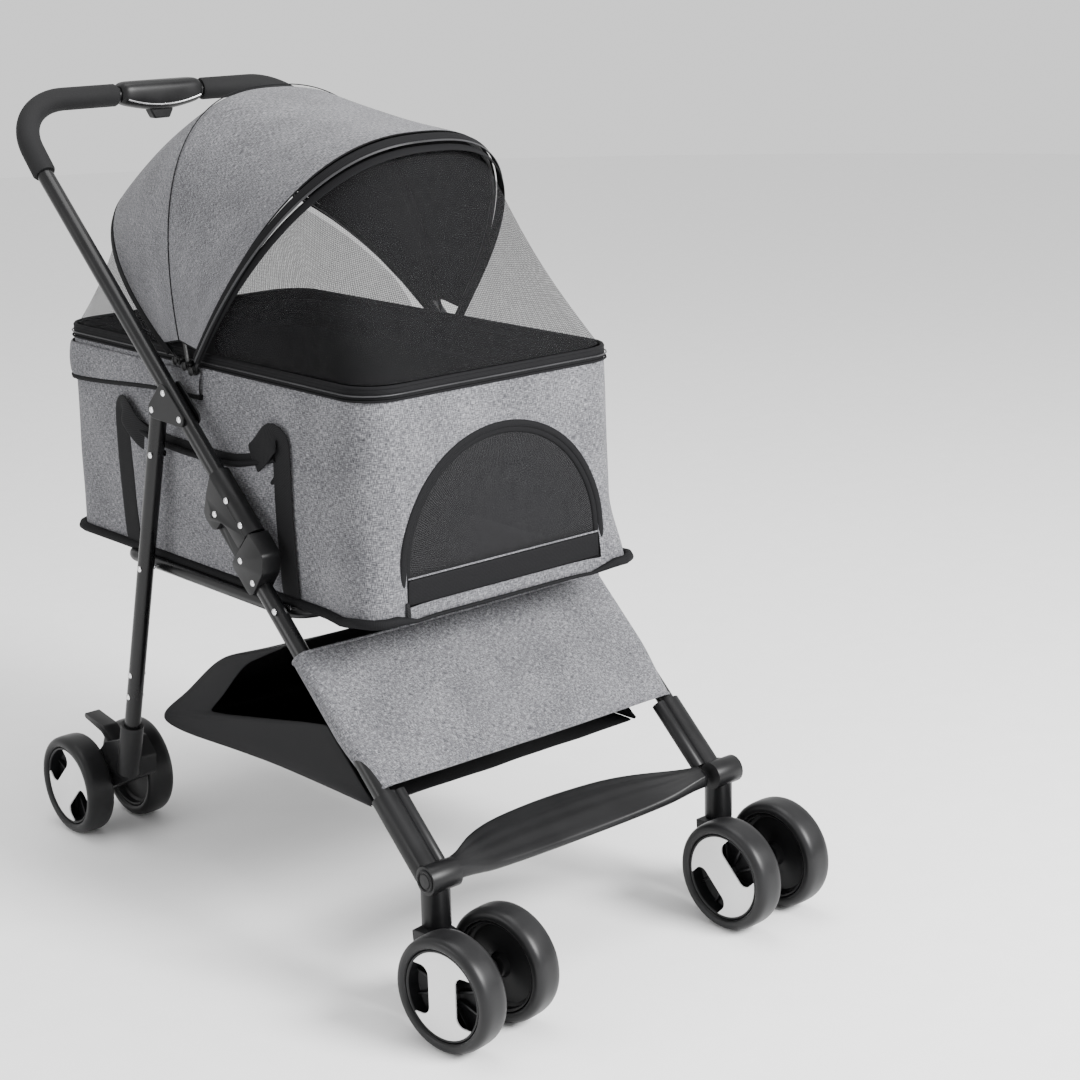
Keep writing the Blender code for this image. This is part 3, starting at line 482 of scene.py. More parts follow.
# ---- hard parts carried over from the frame ------------------------------------------
def dress_hard_parts():
    """Black plastic with softened edges on every node that the frame brings."""
    for node in frame["nodes"].values():
        node.data.materials.clear()
        node.data.materials.append(PLASTIC)
        node.data.shade_smooth()
        node.data.set_sharp_from_angle(angle=math.radians(35))
        weld = node.modifiers.new("weld", "WELD")
        weld.merge_threshold = 0.00002
        soften = node.modifiers.new("soft edges", "BEVEL")
        soften.width, soften.segments = 0.0012, 2
        soften.limit_method, soften.angle_limit = "ANGLE", math.radians(40)


# ---- frame ---------------------------------------------------------------------------
def handle_path():
    knee, corner = at(-1, along(-0.5230)), at(-1, PUSH_BAR)
    path = [at(-1, along(0.0545)), *arc_points(at(-1, along(0.0545)), knee, corner, 0.060, 14),
            *arc_points(knee, corner, (0.0, *PUSH_BAR), 0.078, 28)]
    return path + [Vector((-place.x, place.y, place.z)) for place in reversed(path)]


def build_frame():
    path = handle_path()
    place_piece(sweep("handle_tube_look", path, TUBE_R, PAINT, 28, up=(0, 1, 0)), "handle",
                ["handle_tube"])
    for name, side in SIDES:
        grip_path = [Vector((side * abs(place.x), place.y, place.z)) for place in path[15:45]]
        grip_path.append(Vector((side * 0.0655, *PUSH_BAR)))
        begin, end = grip_path[0], grip_path[-1]
        grip_path.insert(1, begin + (grip_path[1] - begin).normalized() * 0.003)
        grip_path.insert(-1, end + Vector((side * 0.003, 0, 0)))
        last = len(grip_path) - 1
        radii = [GRIP_R] * (last + 1)
        radii[0] = radii[last] = GRIP_R - 0.0016
        grip = sweep("grip_look_" + name, grip_path, radii, FOAM, 32, up=(0, 1, 0))
        place_piece(grip, "handle", ["grip_" + name])
        leg = sweep("front_leg_look_" + name, [at(side, along(0.0720, LEG_OFFSET)),
                    at(side, along(0.4700, LEG_OFFSET))], TUBE_R, PAINT, 32, up=(1, 0, 0))
        place_piece(leg, "front_legs", ["front_leg_" + name])
        run = (REAR_LEG_END - REAR_PIVOT).normalized()
        rear = sweep("rear_leg_look_" + name, [at(side, REAR_PIVOT - run * 0.006),
                     at(side, REAR_LEG_END)], TUBE_R, PAINT, 32, up=(1, 0, 0))
        place_piece(rear, "rear_leg_" + name, ["rear_leg_" + name])
        pin_end = sweep("rail_pin_" + name, [at(side, RAIL_PIN, 0.1905),
                        at(side, RAIL_PIN, 0.2150)], 0.003, STEEL, 16)
        place_piece(pin_end, "rear_leg_" + name)
    ring = []
    corners = [(-0.2, -0.082), (0.2, -0.082), (0.2, 0.305), (-0.2, 0.305)]
    for index, (x, y) in enumerate(corners):
        before, after = corners[index - 1], corners[(index + 1) % 4]
        ring += arc_points((*before, SUPPORT_Z), (x, y, SUPPORT_Z), (*after, SUPPORT_Z), 0.030)
    place_piece(sweep("support_frame_look", ring, 0.0075, PAINT, 24, closed=True, up=(0, 0, 1)),
                "support", ["support_frame"])


def lobed_outline(lobes, steps=10):
    """Outline round several (y, z, radius) lobes, given in order round the plate."""
    points = []
    for index, (y, z, radius) in enumerate(lobes):
        centre = Vector((y, z))
        ends = []
        for other, sign in ((lobes[index - 1], 1), (lobes[(index + 1) % len(lobes)], -1)):
            run = Vector((other[0], other[1])) - centre
            lean = math.acos(max(-1.0, min(1.0, (radius - other[2]) / run.length)))
            ends.append(math.atan2(run.y, run.x) + sign * lean)
        start, stop = ends
        while stop < start:
            stop += math.tau
        for step in range(steps + 1):
            angle = start + (stop - start) * step / steps
            points.append((y + radius * math.cos(angle), z + radius * math.sin(angle)))
    return points


def build_brackets():
    """Two riveted cheeks that join each rear leg to the handle tube."""
    for side_name, side in SIDES:
        cheeks = []
        place = Matrix(((0, 0, 1, 0), (1, 0, 0, 0), (0, 1, 0, 0), (0, 0, 0, 1)))
        lobes = [(0.0986, 0.6104, 0.0092), (0.1568, 0.6139, 0.0105), (0.1330, 0.6400, 0.0092)]
        for low, high in ((0.2318, 0.2342), (0.2092, 0.2112)):
            low, high = sorted((side * low, side * high))
            cheeks.append(outline_solid("cheek", lobed_outline(lobes), low, high, place, PLASTIC,
                                        0.0007))
        cheeks.append(sweep("pivot_pin", [at(side, REAR_PIVOT, 0.2095), at(side, REAR_PIVOT,
                            0.2340)], 0.0030, STEEL, 16))
        item = merge("rear_leg_bracket_look_" + side_name, cheeks)
        place_piece(item, "handle", ["rear_leg_bracket_" + side_name])


def rivet(name, side, place, body, x_outer, x_inner):
    """Domed rivet heads on both faces of a side plate."""
    radius = 0.0042
    profile = [(0.0001, 0.0019), (radius * 0.45, 0.0017), (radius * 0.8, 0.0011),
               (radius, 0.0002), (radius, 0.0), (0.0001, 0.0)]
    heads = []
    for x, way in ((x_outer, 1), (x_inner, -1)):
        heads.append(revolve("%s_%s" % (name, way), profile, at(side, place, x),
                             (side * way, 0, 0), STEEL, 24, 60))
    place_piece(merge(name, heads), body)


def build_rivets():
    plates = (
        ("handle", ((0.1310, 0.6380), (0.0986, 0.6104), (0.1600, 0.6135)), 0.2342, 0.2092),
        ("handle", ((0.0059, 0.5277), (-0.0215, 0.5030), (0.0325, 0.5066)), 0.2346, 0.2089),
        ("front_legs", ((-0.0168, 0.4594), (-0.0402, 0.4371)), 0.2346, 0.2089),
        ("front_legs", ((-0.0771, 0.4095),), 0.2312, 0.2108),
        ("front_legs", ((-0.2751, 0.2113), (-0.3030, 0.1869)), 0.2314, 0.2106),
    )
    for side_name, side in SIDES:
        for group, (body, places, outer, inner) in enumerate(plates):
            for index, place in enumerate(places):
                rivet("rivet_%s_%d%d" % (side_name, group, index), side, place, body, outer, inner)
        for index, place in enumerate(((0.1759, 0.5538), (0.2665, 0.2469), (0.2757, 0.2150))):
            rivet("rivet_%s_rear%d" % (side_name, index), side, place, "rear_leg_" + side_name,
                  0.2312, 0.2108)
        rivet("rivet_%s_rail" % side_name, side, RAIL_PIN, "rear_leg_" + side_name, 0.2312, 0.2108)
        ring = [(0.0132, 0.0), (0.0132, 0.0012), (0.0118, 0.0020), (0.0104, 0.0012),
                (0.0104, 0.0004), (0.0090, 0.0004), (0.0080, 0.0014), (0.0001, 0.0018),
                (0.0001, 0.0)]
        cap = revolve("boss_cap_" + side_name, ring, (side * 0.2401, -0.3560, 0.1660),
                      (side, 0, 0), PLASTIC, 48)
        place_piece(cap, "front_legs")


def build_release():
    """Rounded housing in the middle of the push bar, deeper under its middle."""
    y, z = PUSH_BAR
    rows = []
    for step in range(-24, 25):
        part = math.sin(step / 24 * math.pi / 2)
        depth = 0.0145 + 0.0085 * (1 - part ** 2) ** 1.5
        half_y = 0.0172 + 0.0012 * (1 - part ** 2)
        round_off = 1.0 - 0.30 * abs(part) ** 14
        row = []
        for spot in range(40):
            angle = math.tau * spot / 40
            c, s = math.cos(angle), math.sin(angle)
            height = 0.0168 if s > 0 else depth
            row.append((part * 0.0612, y + math.copysign(abs(c) ** 0.62, c) * half_y * round_off,
                        z + math.copysign(abs(s) ** 0.70, s) * height * round_off))
        rows.append(row)
    housing = grid_piece("release_housing_look", rows, PLASTIC, 0.0, closed=True, smooth=1)
    fill_holes(housing)
    place_piece(housing, "handle", ["release_housing"])
    line = []
    for step in range(-20, 21):
        part = step / 20
        line.append((part * 0.0560, y - 0.0174, z - 0.0060 - 0.0090 * (1 - part ** 2)))
    place_piece(sweep("release_accent", line, 0.0010, STEEL, 10), "handle")
    outline = [(-0.0180, -0.0160), (0.0180, -0.0160), (0.0172, -0.0240), (0.0118, -0.0342),
               (-0.0118, -0.0342), (-0.0172, -0.0240)]
    turn = Matrix(((1, 0, 0, 0), (0, 0, -1, y), (0, 1, 0, z), (0, 0, 0, 1)))
    trigger = outline_solid("release_trigger_look", outline, -0.0075, 0.0075, turn, PLASTIC,
                            0.0020)
    place_piece(trigger, "release", ["release_trigger"])


def fill_holes(item):
    made = bmesh.new()
    made.from_mesh(item.data)
    bmesh.ops.holes_fill(made, edges=[edge for edge in made.edges if edge.is_boundary], sides=0)
    bmesh.ops.recalc_face_normals(made, faces=made.faces)
    made.to_mesh(item.data)
    made.free()


# ---- wheels --------------------------------------------------------------------------
PLATE_TURN = {"front_right_outer": 0, "front_left_inner": -45, "rear_right_outer": 45,
              "rear_right_inner": 60, "rear_left_outer": 20, "rear_left_inner": -20,
              "front_left_outer": 75, "front_right_inner": 30}


def hub_plate_outline(disc=0.0500, waist=0.0195, reach=0.0290, corner=0.0110):
    """A disc with a round-cornered bite out of each side."""
    start = math.asin(reach / disc)
    half = []
    for step in range(33):
        angle = start + (math.pi - 2 * start) * step / 32
        half.append((disc * math.cos(angle), disc * math.sin(angle)))
    for centre_y, first in ((reach - corner, math.pi / 2), (corner - reach, 0.0)):
        for step in range(9):
            angle = first - math.pi / 2 * step / 8
            half.append((-waist - corner + corner * math.cos(angle),
                         centre_y + corner * math.sin(angle)))
    return half + [(-x, -y) for x, y in half]


def build_wheels():
    half, bore = WHEEL_HALF, TYRE_BORE_R
    shoulder = [(bore, 0.0150), (bore + 0.0012, 0.0176), (bore + 0.0030, 0.0188),
                (0.0590, half), (0.0612, 0.0187), (0.0632, 0.0176), (0.0650, 0.0156),
                (0.0662, 0.0128), (0.0668, 0.0092), (WHEEL_R, 0.0050), (WHEEL_R, 0.0)]
    tyre_profile = shoulder + [(r, -z) for r, z in reversed(shoulder[:-1])]
    edge = bore - 0.0004
    rim_profile = [
        (edge, 0.0150), (edge - 0.0008, 0.0158), (edge - 0.0024, 0.0158), (edge - 0.0034, 0.0146),
        (edge - 0.0050, 0.0010), (edge - 0.0120, -0.0012), (0.0200, -0.0012), (0.0150, 0.0016),
        (0.0125, 0.0070), (0.0110, 0.0088), (0.0052, 0.0088), (0.0052, -0.0160),
        (0.0110, -0.0160), (0.0125, -0.0150), (0.0150, -0.0080), (0.0220, -0.0052),
        (edge - 0.0070, -0.0052), (edge - 0.0040, -0.0080), (edge - 0.0030, -0.0146),
        (edge - 0.0020, -0.0155), (edge - 0.0006, -0.0155), (edge, -0.0146)]
    for corner in ("front_left", "front_right", "rear_left", "rear_right"):
        places = {end: Vector(JOINTS["spin_%s_%s" % (corner, end)]["pos_m"])
                  for end in ("outer", "inner")}
        middle = (places["outer"] + places["inner"]) / 2
        for end, centre in places.items():
            name = "%s_%s" % (corner, end)
            body = "wheel_" + name
            outward = (centre - middle).normalized()
            turn = math.radians(PLATE_TURN[name])
            long_way = Vector((0.0, -math.sin(turn), math.cos(turn)))
            if outward.x > 0:
                long_way.y = -long_way.y
            place_piece(revolve("tyre_look_" + name, tyre_profile, centre, outward, TYRE, 96, 50),
                        body, ["tyre_" + name])
            rim = revolve("rim_look_" + name, rim_profile, centre, outward, RIM, 96, 30)
            spokes = [rim]
            for step in range(10):
                angle = math.tau * step / 10
                turned = aim(centre, outward, long_way) @ Matrix.Rotation(angle, 4, "Z")
                spokes.append(outline_solid(
                    "spoke", [(-0.0016, 0.0125), (0.0016, 0.0125), (0.0013, 0.0478),
                              (-0.0013, 0.0478)], -0.0010, 0.0045, turned, RIM, 0.0005))
            place_piece(merge("rim_look_" + name, spokes), body, ["rim_" + name])
            face = aim(centre, outward, long_way)
            hub = outline_solid("hub_plate_" + name, hub_plate_outline(), 0.0132, 0.0156, face,
                                HUB, 0.0006)
            place_piece(hub, body)


# ---- carrier -------------------------------------------------------------------------
def side_middle(y):
    """1 at the middle of the carrier's length, falling to 0 towards its ends."""
    return 1.0 - min(1.0, abs(y - MIDDLE_Y) / SIDE_REACH) ** 3


def wall_outline(height, inset=0.0, steps=150):
    """Carrier's outside at one height: a rounded rectangle, bellied, with drawn-out toes."""
    part = (height - FLOOR_Z) / (RIM_Z - FLOOR_Z)
    belly = 0.0050 * math.sin(math.pi * min(1.0, max(0.0, part))) - 0.0010
    corner = 0.034 + 0.012 * part
    half_x, low, high = HALF - inset, Y_FRONT + inset, Y_BACK - inset
    straight_x, straight_y = 2 * half_x - 2 * corner, (high - low) - 2 * corner
    arc = math.pi / 2 * corner
    total = 2 * (straight_x + straight_y + 2 * arc)
    points = []
    for step in range(steps):
        goal = total * step / steps
        runs = ((straight_x, "front"), (arc, 0), (straight_y, "left"), (arc, 1),
                (straight_x, "back"), (arc, 2), (straight_y, "right"), (arc, 3))
        for length, kind in runs:
            if goal <= length:
                break
            goal -= length
        x_in = half_x - corner
        if kind == "front":
            spot, normal = (-x_in + goal, low), (0, -1)
        elif kind == "left":
            spot, normal = (half_x, low + corner + goal), (1, 0)
        elif kind == "back":
            spot, normal = (x_in - goal, high), (0, 1)
        elif kind == "right":
            spot, normal = (-half_x, high - corner - goal), (-1, 0)
        else:
            angle = -math.pi / 2 + math.pi / 2 * kind + goal / corner
            middle = ((x_in, low + corner), (x_in, high - corner), (-x_in, high - corner),
                      (-x_in, low + corner))[kind]
            normal = (math.cos(angle), math.sin(angle))
            spot = (middle[0] + corner * normal[0], middle[1] + corner * normal[1])
        x, y = spot
        front_middle = 1.0 - min(1.0, abs(x) / 0.18) ** 3
        swell = belly * (side_middle(y) if abs(normal[0]) > 0.5 else front_middle)
        toe = smoothstep(0.50, FLOOR_Z, height) * smoothstep(0.10, 0.185, abs(x)) \
            * smoothstep(-0.12, -0.20, y)
        dent = 0.0011 * ripple(x * 21, y * 17, height * 26) * (1 - abs(2 * part - 1) ** 4)
        out = swell + dent
        points.append((x + normal[0] * out + math.copysign(0.0125, x) * toe,
                       y + normal[1] * out - 0.0125 * toe, height))
    return points


def door_taper(z):
    return 1.0 - DOOR_TAPER * smoothstep(DOOR_Z[0], TAPER_TOP, z)


def doorway_prism(low, high):
    """Block that cuts the doorway out of the front wall."""
    sill, spring, top = DOOR_Z
    outline = [(-DOOR_HALF, sill), (DOOR_HALF, sill)]
    for step in range(41):
        angle = math.pi * step / 40
        outline.append((DOOR_HALF * math.cos(angle), spring + (top - spring) * math.sin(angle)))
    outline = [(x * door_taper(z), z) for x, z in outline]
    turn = Matrix(((1, 0, 0, 0), (0, 0, -1, 0), (0, 1, 0, 0), (0, 0, 0, 1)))
    return outline_solid("doorway", outline, -high, -low, turn, LINING, 0.0)


def door_edge(margin, y, steps=40):
    """Line round the door from its right foot over the top to its left one."""
    sill, spring, top = DOOR_Z
    half = DOOR_HALF + margin
    points = [Vector((-half, y, sill - margin + (spring - sill + margin) * step / 8))
              for step in range(8)]
    for step in range(steps + 1):
        angle = math.pi - math.pi * step / steps
        points.append(Vector((half * math.cos(angle), y,
                              spring + (top + margin - spring) * math.sin(angle))))
    points += [Vector((half, y, spring - (spring - sill + margin) * step / 8))
               for step in range(1, 9)]
    for place in points:
        place.x *= door_taper(place.z)
    return points


def build_carrier():
    heights = [FLOOR_Z + (0.6680 - FLOOR_Z) * step / 22 for step in range(23)]
    rows = [wall_outline(height) for height in heights]
    shell = grid_piece("carrier_walls", rows, [CLOTH, LINING], 0.0030, closed=True, inner=1)
    cutter = doorway_prism(Y_FRONT - 0.05, Y_FRONT + 0.04)
    step = shell.modifiers.new("doorway", "BOOLEAN")
    step.operation, step.object = "DIFFERENCE", cutter
    apply_all(shell)
    bpy.data.objects.remove(cutter)
    place_piece(shell, "carrier", ["carrier_shell"])
    floor_rows = []
    for part in (1.0, 0.97, 0.9, 0.75, 0.55, 0.3, 0.06):
        floor_rows.append([(x * part, MIDDLE_Y + (y - MIDDLE_Y) * part,
                            FLOOR_Z + 0.0015 - 0.0035 * (1 - part) ** 0.7)
                           for x, y, _ in wall_outline(FLOOR_Z, 0.002)])
    place_piece(grid_piece("carrier_floor", floor_rows, [CLOTH, LINING], 0.0026, closed=True,
                           inner=1), "carrier")
    lip_rows = []
    for step in range(4):
        height = 0.6668 + (0.6800 - 0.6668) * step / 3
        lip_rows.append([(x, y, height) for x, y, _ in wall_outline(min(height, RIM_Z), -0.0006)])
    place_piece(grid_piece("rim_band", lip_rows, BINDING, 0.0030, closed=True), "carrier")
    for name, height, radius, offset, material in (
            ("rim_top_piping", 0.6806, 0.0026, -0.0005, BINDING),
            ("rim_low_piping", 0.6668, 0.0014, 0.0022, BINDING),
            ("zip_line", 0.6728, 0.0009, 0.0028, ZIP),
            ("floor_piping", 0.4095, 0.0058, 0.0040, BINDING)):
        level = min(height, RIM_Z)
        path, radii = [], []
        for x, y, _ in wall_outline(level, -offset):
            front = smoothstep(-0.16, -0.21, y) if name == "floor_piping" else 0.0
            path.append((x, y, height + 0.0085 * front * smoothstep(0.13, 0.17, abs(x))))
            radii.append(radius * (1.0 - 0.62 * front * smoothstep(0.165, 0.135, abs(x))))
        piping = sweep(name, path, radii, material, 12, closed=True, up=(0, 0, 1))
        place_piece(piping, "carrier")
    inner_lip = [[(x, y, height) for x, y, _ in wall_outline(height, 0.0048)]
                 for height in (0.630, 0.6375, 0.645, 0.6525)]
    place_piece(grid_piece("inner_band", inner_lip, BINDING, 0.0014, closed=True), "carrier")
    collar = []
    for height, out in ((0.6150, 0.0034), (0.6190, 0.0058), (0.6380, 0.0066), (0.6560, 0.0052),
                        (0.6600, 0.0034)):
        outline = wall_outline(height, -out)
        start = next(i for i, p in enumerate(outline) if p[0] > 0 and p[1] > 0.105)
        stop = max(i for i, p in enumerate(outline) if p[0] < 0 and p[1] > 0.105)
        lift = [0.016 * smoothstep(0.44, 0.16, place[1]) * (0.6600 - height) / 0.045
                for place in outline]
        collar.append([(x, y, z + rise) for (x, y, z), rise in zip(outline, lift)]
                      [start:stop + 1])
    count = min(len(row) for row in collar)
    collar = [row[:count] for row in collar]
    place_piece(grid_piece("rear_collar", collar, CLOTH, 0.0026), "carrier")
    edge = [Vector(place) + Vector((0, 0, -0.0012)) for place in collar[0]]
    place_piece(sweep("collar_piping", edge, 0.0036, BINDING, 12, up=(0, 0, 1)), "carrier")


def build_door():
    frame_y = Y_FRONT - 0.0022
    sill, _, _ = DOOR_Z
    outer = door_edge(-0.0020, frame_y)
    rows = []
    for share in (1.0, 0.85, 0.6, 0.3, 0.02):
        rows.append([(p.x * share, p.y + 0.0016 * math.sin(math.pi * share),
                      sill + 0.010 + (p.z - sill - 0.010) * share) for p in outer])
    panel = grid_piece("door_mesh_panel", rows, DOOR_MESH, 0.0008)
    place_piece(panel, "door", ["front_door"])
    rim = sweep("door_binding", outer, 0.0048, BINDING, 14, up=(0, -1, 0), squash=0.45)
    place_piece(rim, "door")
    zip_path = door_edge(0.0040, Y_FRONT - 0.0040)
    foot_r, foot_l = zip_path[0], zip_path[-1]
    zip_path.insert(0, foot_r + Vector((-0.0015, -0.0012, -0.0125)))
    zip_path.append(foot_l + Vector((0.0015, -0.0012, -0.0125)))
    place_piece(sweep("door_zip_tape", zip_path, 0.0044, BINDING, 12, up=(0, -1, 0), squash=0.4),
                "carrier")
    strip = [[(x / 20 * (DOOR_HALF - 0.0015 - 0.05 * lift), frame_y - 0.0022 - lift * 0.02,
               sill + 0.0010 + lift) for x in range(-20, 21)] for lift in (0, 0.010, 0.020, 0.031)]
    place_piece(grid_piece("door_hem", strip, BINDING, 0.0018), "door")
    edge_line = [Vector(place) + Vector((0.0, -0.0006, 0.0012)) for place in strip[-1]]
    place_piece(sweep("door_hem_piping", edge_line, 0.0011, CLOTH, 8, up=(0, 0, 1)), "door")
    pull_top = Vector((-0.1500, frame_y - 0.0070, 0.4350))
    pull = ribbon("zip_pull", [pull_top, pull_top + Vector((0.001, -0.002, -0.012)),
                               pull_top + Vector((0.0, -0.001, -0.026))], (0, -1, 0), 0.0060,
                  WEBBING, 0.0014)
    place_piece(pull, "door")


def build_mat():
    low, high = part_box("mat")
    rows = []
    centre = (low + high) / 2
    half_x, half_y = (high.x - low.x) / 2, (high.y - low.y) / 2
    levels = ((0.985, 0.0010), (1.0, 0.0040), (0.995, 0.0082), (0.975, 0.0108), (0.90, 0.0118),
              (0.72, 0.0114), (0.50, 0.0117), (0.25, 0.0114), (0.05, 0.0117))
    for share, lift in levels:
        row = []
        for step in range(96):
            angle = math.tau * step / 96
            c, s = math.cos(angle), math.sin(angle)
            x = math.copysign(abs(c) ** 0.22, c) * half_x * share
            y = math.copysign(abs(s) ** 0.22, s) * half_y * share
            quilt = 0.0009 * math.cos(x * 70) * math.cos(y * 70) if share < 0.93 else 0.0
            row.append((centre.x + x, centre.y + y, low.z + min(0.0120, lift + quilt - 0.0004)))
        rows.append(row)
    bottom = [(x, y, low.z) for x, y, _ in rows[0]]
    mat = grid_piece("mat_look", [bottom] + rows, PET_MAT, closed=True)
    place_piece(mat, "carrier", ["mat"])


def side_x(y, z, out):
    """Outside of the carrier's side wall at a place, plus a distance."""
    part = (z - FLOOR_Z) / (RIM_Z - FLOOR_Z)
    return HALF + 0.0050 * math.sin(math.pi * part) * side_middle(y) + out


def build_side_details(side_name, side):
    def on_wall(y, z, out=0.0030):
        return Vector((side * side_x(y, z, out), y, z))

    front, rear = -0.0570, 0.2960
    for label, y, top in (("front", front, 0.6070), ("rear", rear, 0.5930)):
        path = [on_wall(y, STRAP_Z + (top - STRAP_Z) * step / 12, 0.0034) for step in range(13)]
        way = 1 if label == "front" else -1
        fold = Vector((0.0, way * 0.006, 0.0))
        path.append(path[-1] + fold + Vector((side * 0.0036, 0, 0.0024)))
        goal = Vector((side * side_x(0.1, 0.55, 0.0034), y + way * 0.060, top - 0.0350))
        start = path[-1] + Vector((side * 0.0030, way * 0.010, -0.006))
        path += [start.lerp(goal, step / 8) + Vector((side * 0.0016 * math.sin(
            math.pi * step / 8), 0, -0.004 * math.sin(math.pi * step / 8))) for step in range(9)]
        strap = ribbon("strap_%s_%s" % (label, side_name), path, (side, 0, 0), 0.0370, WEBBING)
        place_piece(strap, "carrier",
                    ["carry_handle_" + side_name] if label == "front" else ())
    top_edge = curve_through([(0.0, rear - 0.012, 0.5760), (0.0, 0.2400, 0.5660),
                              (0.0, 0.1790, 0.5600), (0.0, 0.0565, 0.5590),
                              (0.0, -0.0126, 0.5710), (0.0, front + 0.012, 0.5790)], 8)
    rows = []
    for step in range(13):
        part = step / 12
        row = []
        for place in top_edge:
            z = 0.4140 + (place.z - 0.4140) * part
            gape = 0.0065 * math.sin(math.pi * (place.y - front) / (rear - front)) * part ** 2
            slack = 0.0012 * ripple(place.y * 40, z * 30) * part
            row.append(on_wall(place.y, z, 0.0026 + gape + slack))
        rows.append(row)
    pocket = grid_piece("pocket_" + side_name, rows, CLOTH, 0.0014)
    place_piece(pocket, "carrier")
    place_piece(sweep("pocket_hem_" + side_name, rows[-1], 0.0036, BINDING, 14, up=(0, 0, 1)),
                "carrier")
    dark = [[on_wall(place.y, place.z + lift, 0.0024 - lift * 0.04) for place in top_edge]
            for lift in (-0.03, -0.01, 0.004, 0.012)]
    place_piece(grid_piece("pocket_shade_" + side_name, dark, LINING, 0.0008), "carrier")


# ---- canopy --------------------------------------------------------------------------
def canopy_rows(clearance):
    """Sheet from the rear hoop over the middle hoop to the front one."""
    ribs = [arch(name, clearance, start=0.05) for name in ("rear_hoop", "mid_hoop", "front_hoop")]
    rows = []
    spans = ((ribs[0], ribs[1], 0.0075, 10), (ribs[1], ribs[2], -0.0040, 12))
    for span, (first, second, swell, parts) in enumerate(spans):
        for step in range(parts + (span == 1)):
            part = step / parts
            row = []
            for index, (start, end) in enumerate(zip(first, second)):
                across = index / (len(first) - 1)
                height = math.sin(math.pi * across)
                place = start.lerp(end, part)
                outward = Vector((place.x, place.y - 0.13, place.z - 0.64)).normalized()
                bulge = swell * math.sin(math.pi * part) * height ** 0.7
                crease = 0.0012 * ripple(across * 19, part * 5 + span * 3) \
                    * math.sin(math.pi * part) * height
                row.append(place + outward * (bulge + crease))
            rows.append(row)
    return rows


def rim_path(front, steps):
    """Points on the carrier's rim from one hoop's foot round to the other side."""
    corner, level = RIM_CORNER, NET_FOOT_Z
    end_y = Y_FRONT + RIM_MARGIN if front else Y_BACK - RIM_MARGIN
    turn_side = -1 if front else 1
    start_y = HOOPS["front_hoop"][0] - 0.030 if front else HOOPS["rear_hoop"][0] + 0.030
    half = HALF - RIM_MARGIN
    path = [Vector((-half, start_y, level))]
    for step in range(13):
        angle = math.pi / 2 * step / 12
        path.append(Vector((-half + corner * (1 - math.cos(angle)),
                            end_y - turn_side * corner * (1 - math.sin(angle)), level)))
    path += [Vector((-place.x, place.y, level)) for place in reversed(path)]
    lengths = [0.0]
    for first, second in zip(path, path[1:]):
        lengths.append(lengths[-1] + (second - first).length)
    points = []
    for step in range(steps + 1):
        goal = lengths[-1] * step / steps
        index = max(i for i in range(len(path) - 1) if lengths[i] <= goal + 1e-9)
        part = (goal - lengths[index]) / max(1e-9, lengths[index + 1] - lengths[index])
        points.append(path[index].lerp(path[index + 1], part))
    return points


def net_rows(hoop, lean, slack, steps=60, parts=10):
    """Rows of a net from a hoop down to the carrier's rim."""
    top = arch(hoop, -0.0030, lean, 0.20, steps)
    rim = rim_path(hoop == "front_hoop", steps)
    rows = []
    for part in range(parts + 1):
        bulge = Vector(slack) * math.sin(math.pi * part / parts)
        rows.append([start.lerp(end, part / parts) + bulge for start, end in zip(top, rim)])
    return rows


def build_canopy():
    canopy = grid_piece("canopy_cloth", canopy_rows(0.0052)[::-1], [CLOTH, LINING], 0.0018, inner=1)
    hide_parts("canopy")
    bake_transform(canopy)
    bindings = (          # name, hoop, clearance, lean, half width, material, thickness
        ("front_binding_a", "front_hoop", 0.0060, 1.6, 0.0062, BINDING, 0.0021),
        ("front_binding_b", "front_hoop", 0.0030, 4.2, 0.0055, BINDING, 0.0020),
        ("front_zip", "front_hoop", 0.0070, 2.9, 0.0014, ZIP, 0.0012),
        ("rear_binding", "rear_hoop", 0.0055, -1.2, 0.0055, BINDING, 0.0020))
    for name, hoop, clearance, lean, width, material, depth in bindings:
        path = arch(hoop, clearance, lean, 0.02, 96)
        pivot = Vector((0.0, HOOPS[hoop][0], HOOPS[hoop][1]))
        facing = [(place - pivot).normalized() for place in path]
        item = ribbon(name, path, facing, width * 2, material, depth)
        place_piece(item, "front_hoop" if hoop == "front_hoop" else "carrier")
    seam = sweep("mid_seam", arch("mid_hoop", 0.0066, 0.0, 0.05, 96), 0.0007, LINING, 8)
    lining = arch("mid_hoop", 0.0016, 0.0, 0.08, 96)
    pivot = Vector((0.0, HOOPS["mid_hoop"][0], HOOPS["mid_hoop"][1]))
    facing = [(place - pivot).normalized() for place in lining]
    sleeve = ribbon("mid_sleeve", [place + (pivot - place).normalized() * 0.0045
                                   for place in lining], facing, 0.0200, BINDING, 0.0014)
    for item in (seam, sleeve):
        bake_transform(item)
    net = grid_piece("front_net", net_rows("front_hoop", 3.0, (0, 0.010, -0.006)), CANOPY_MESH)
    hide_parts("front_mesh")
    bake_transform(net)
    net = grid_piece("rear_net", net_rows("rear_hoop", -3.0, (0, -0.008, -0.005)), CANOPY_MESH)
    place_piece(net, "carrier", ["rear_mesh"])
    for side_name, side in SIDES:
        for hoop, (y, z, _, _) in HOOPS.items():
            head = revolve("hoop_rivet_%s_%s" % (hoop, side_name),
                           [(0.0001, 0.0024), (0.0030, 0.0021), (0.0052, 0.0010), (0.0056, 0.0),
                            (0.0001, 0.0)], (side * 0.2030, y, z), (side, 0, 0), PLASTIC, 24)
            place_piece(head, "carrier")


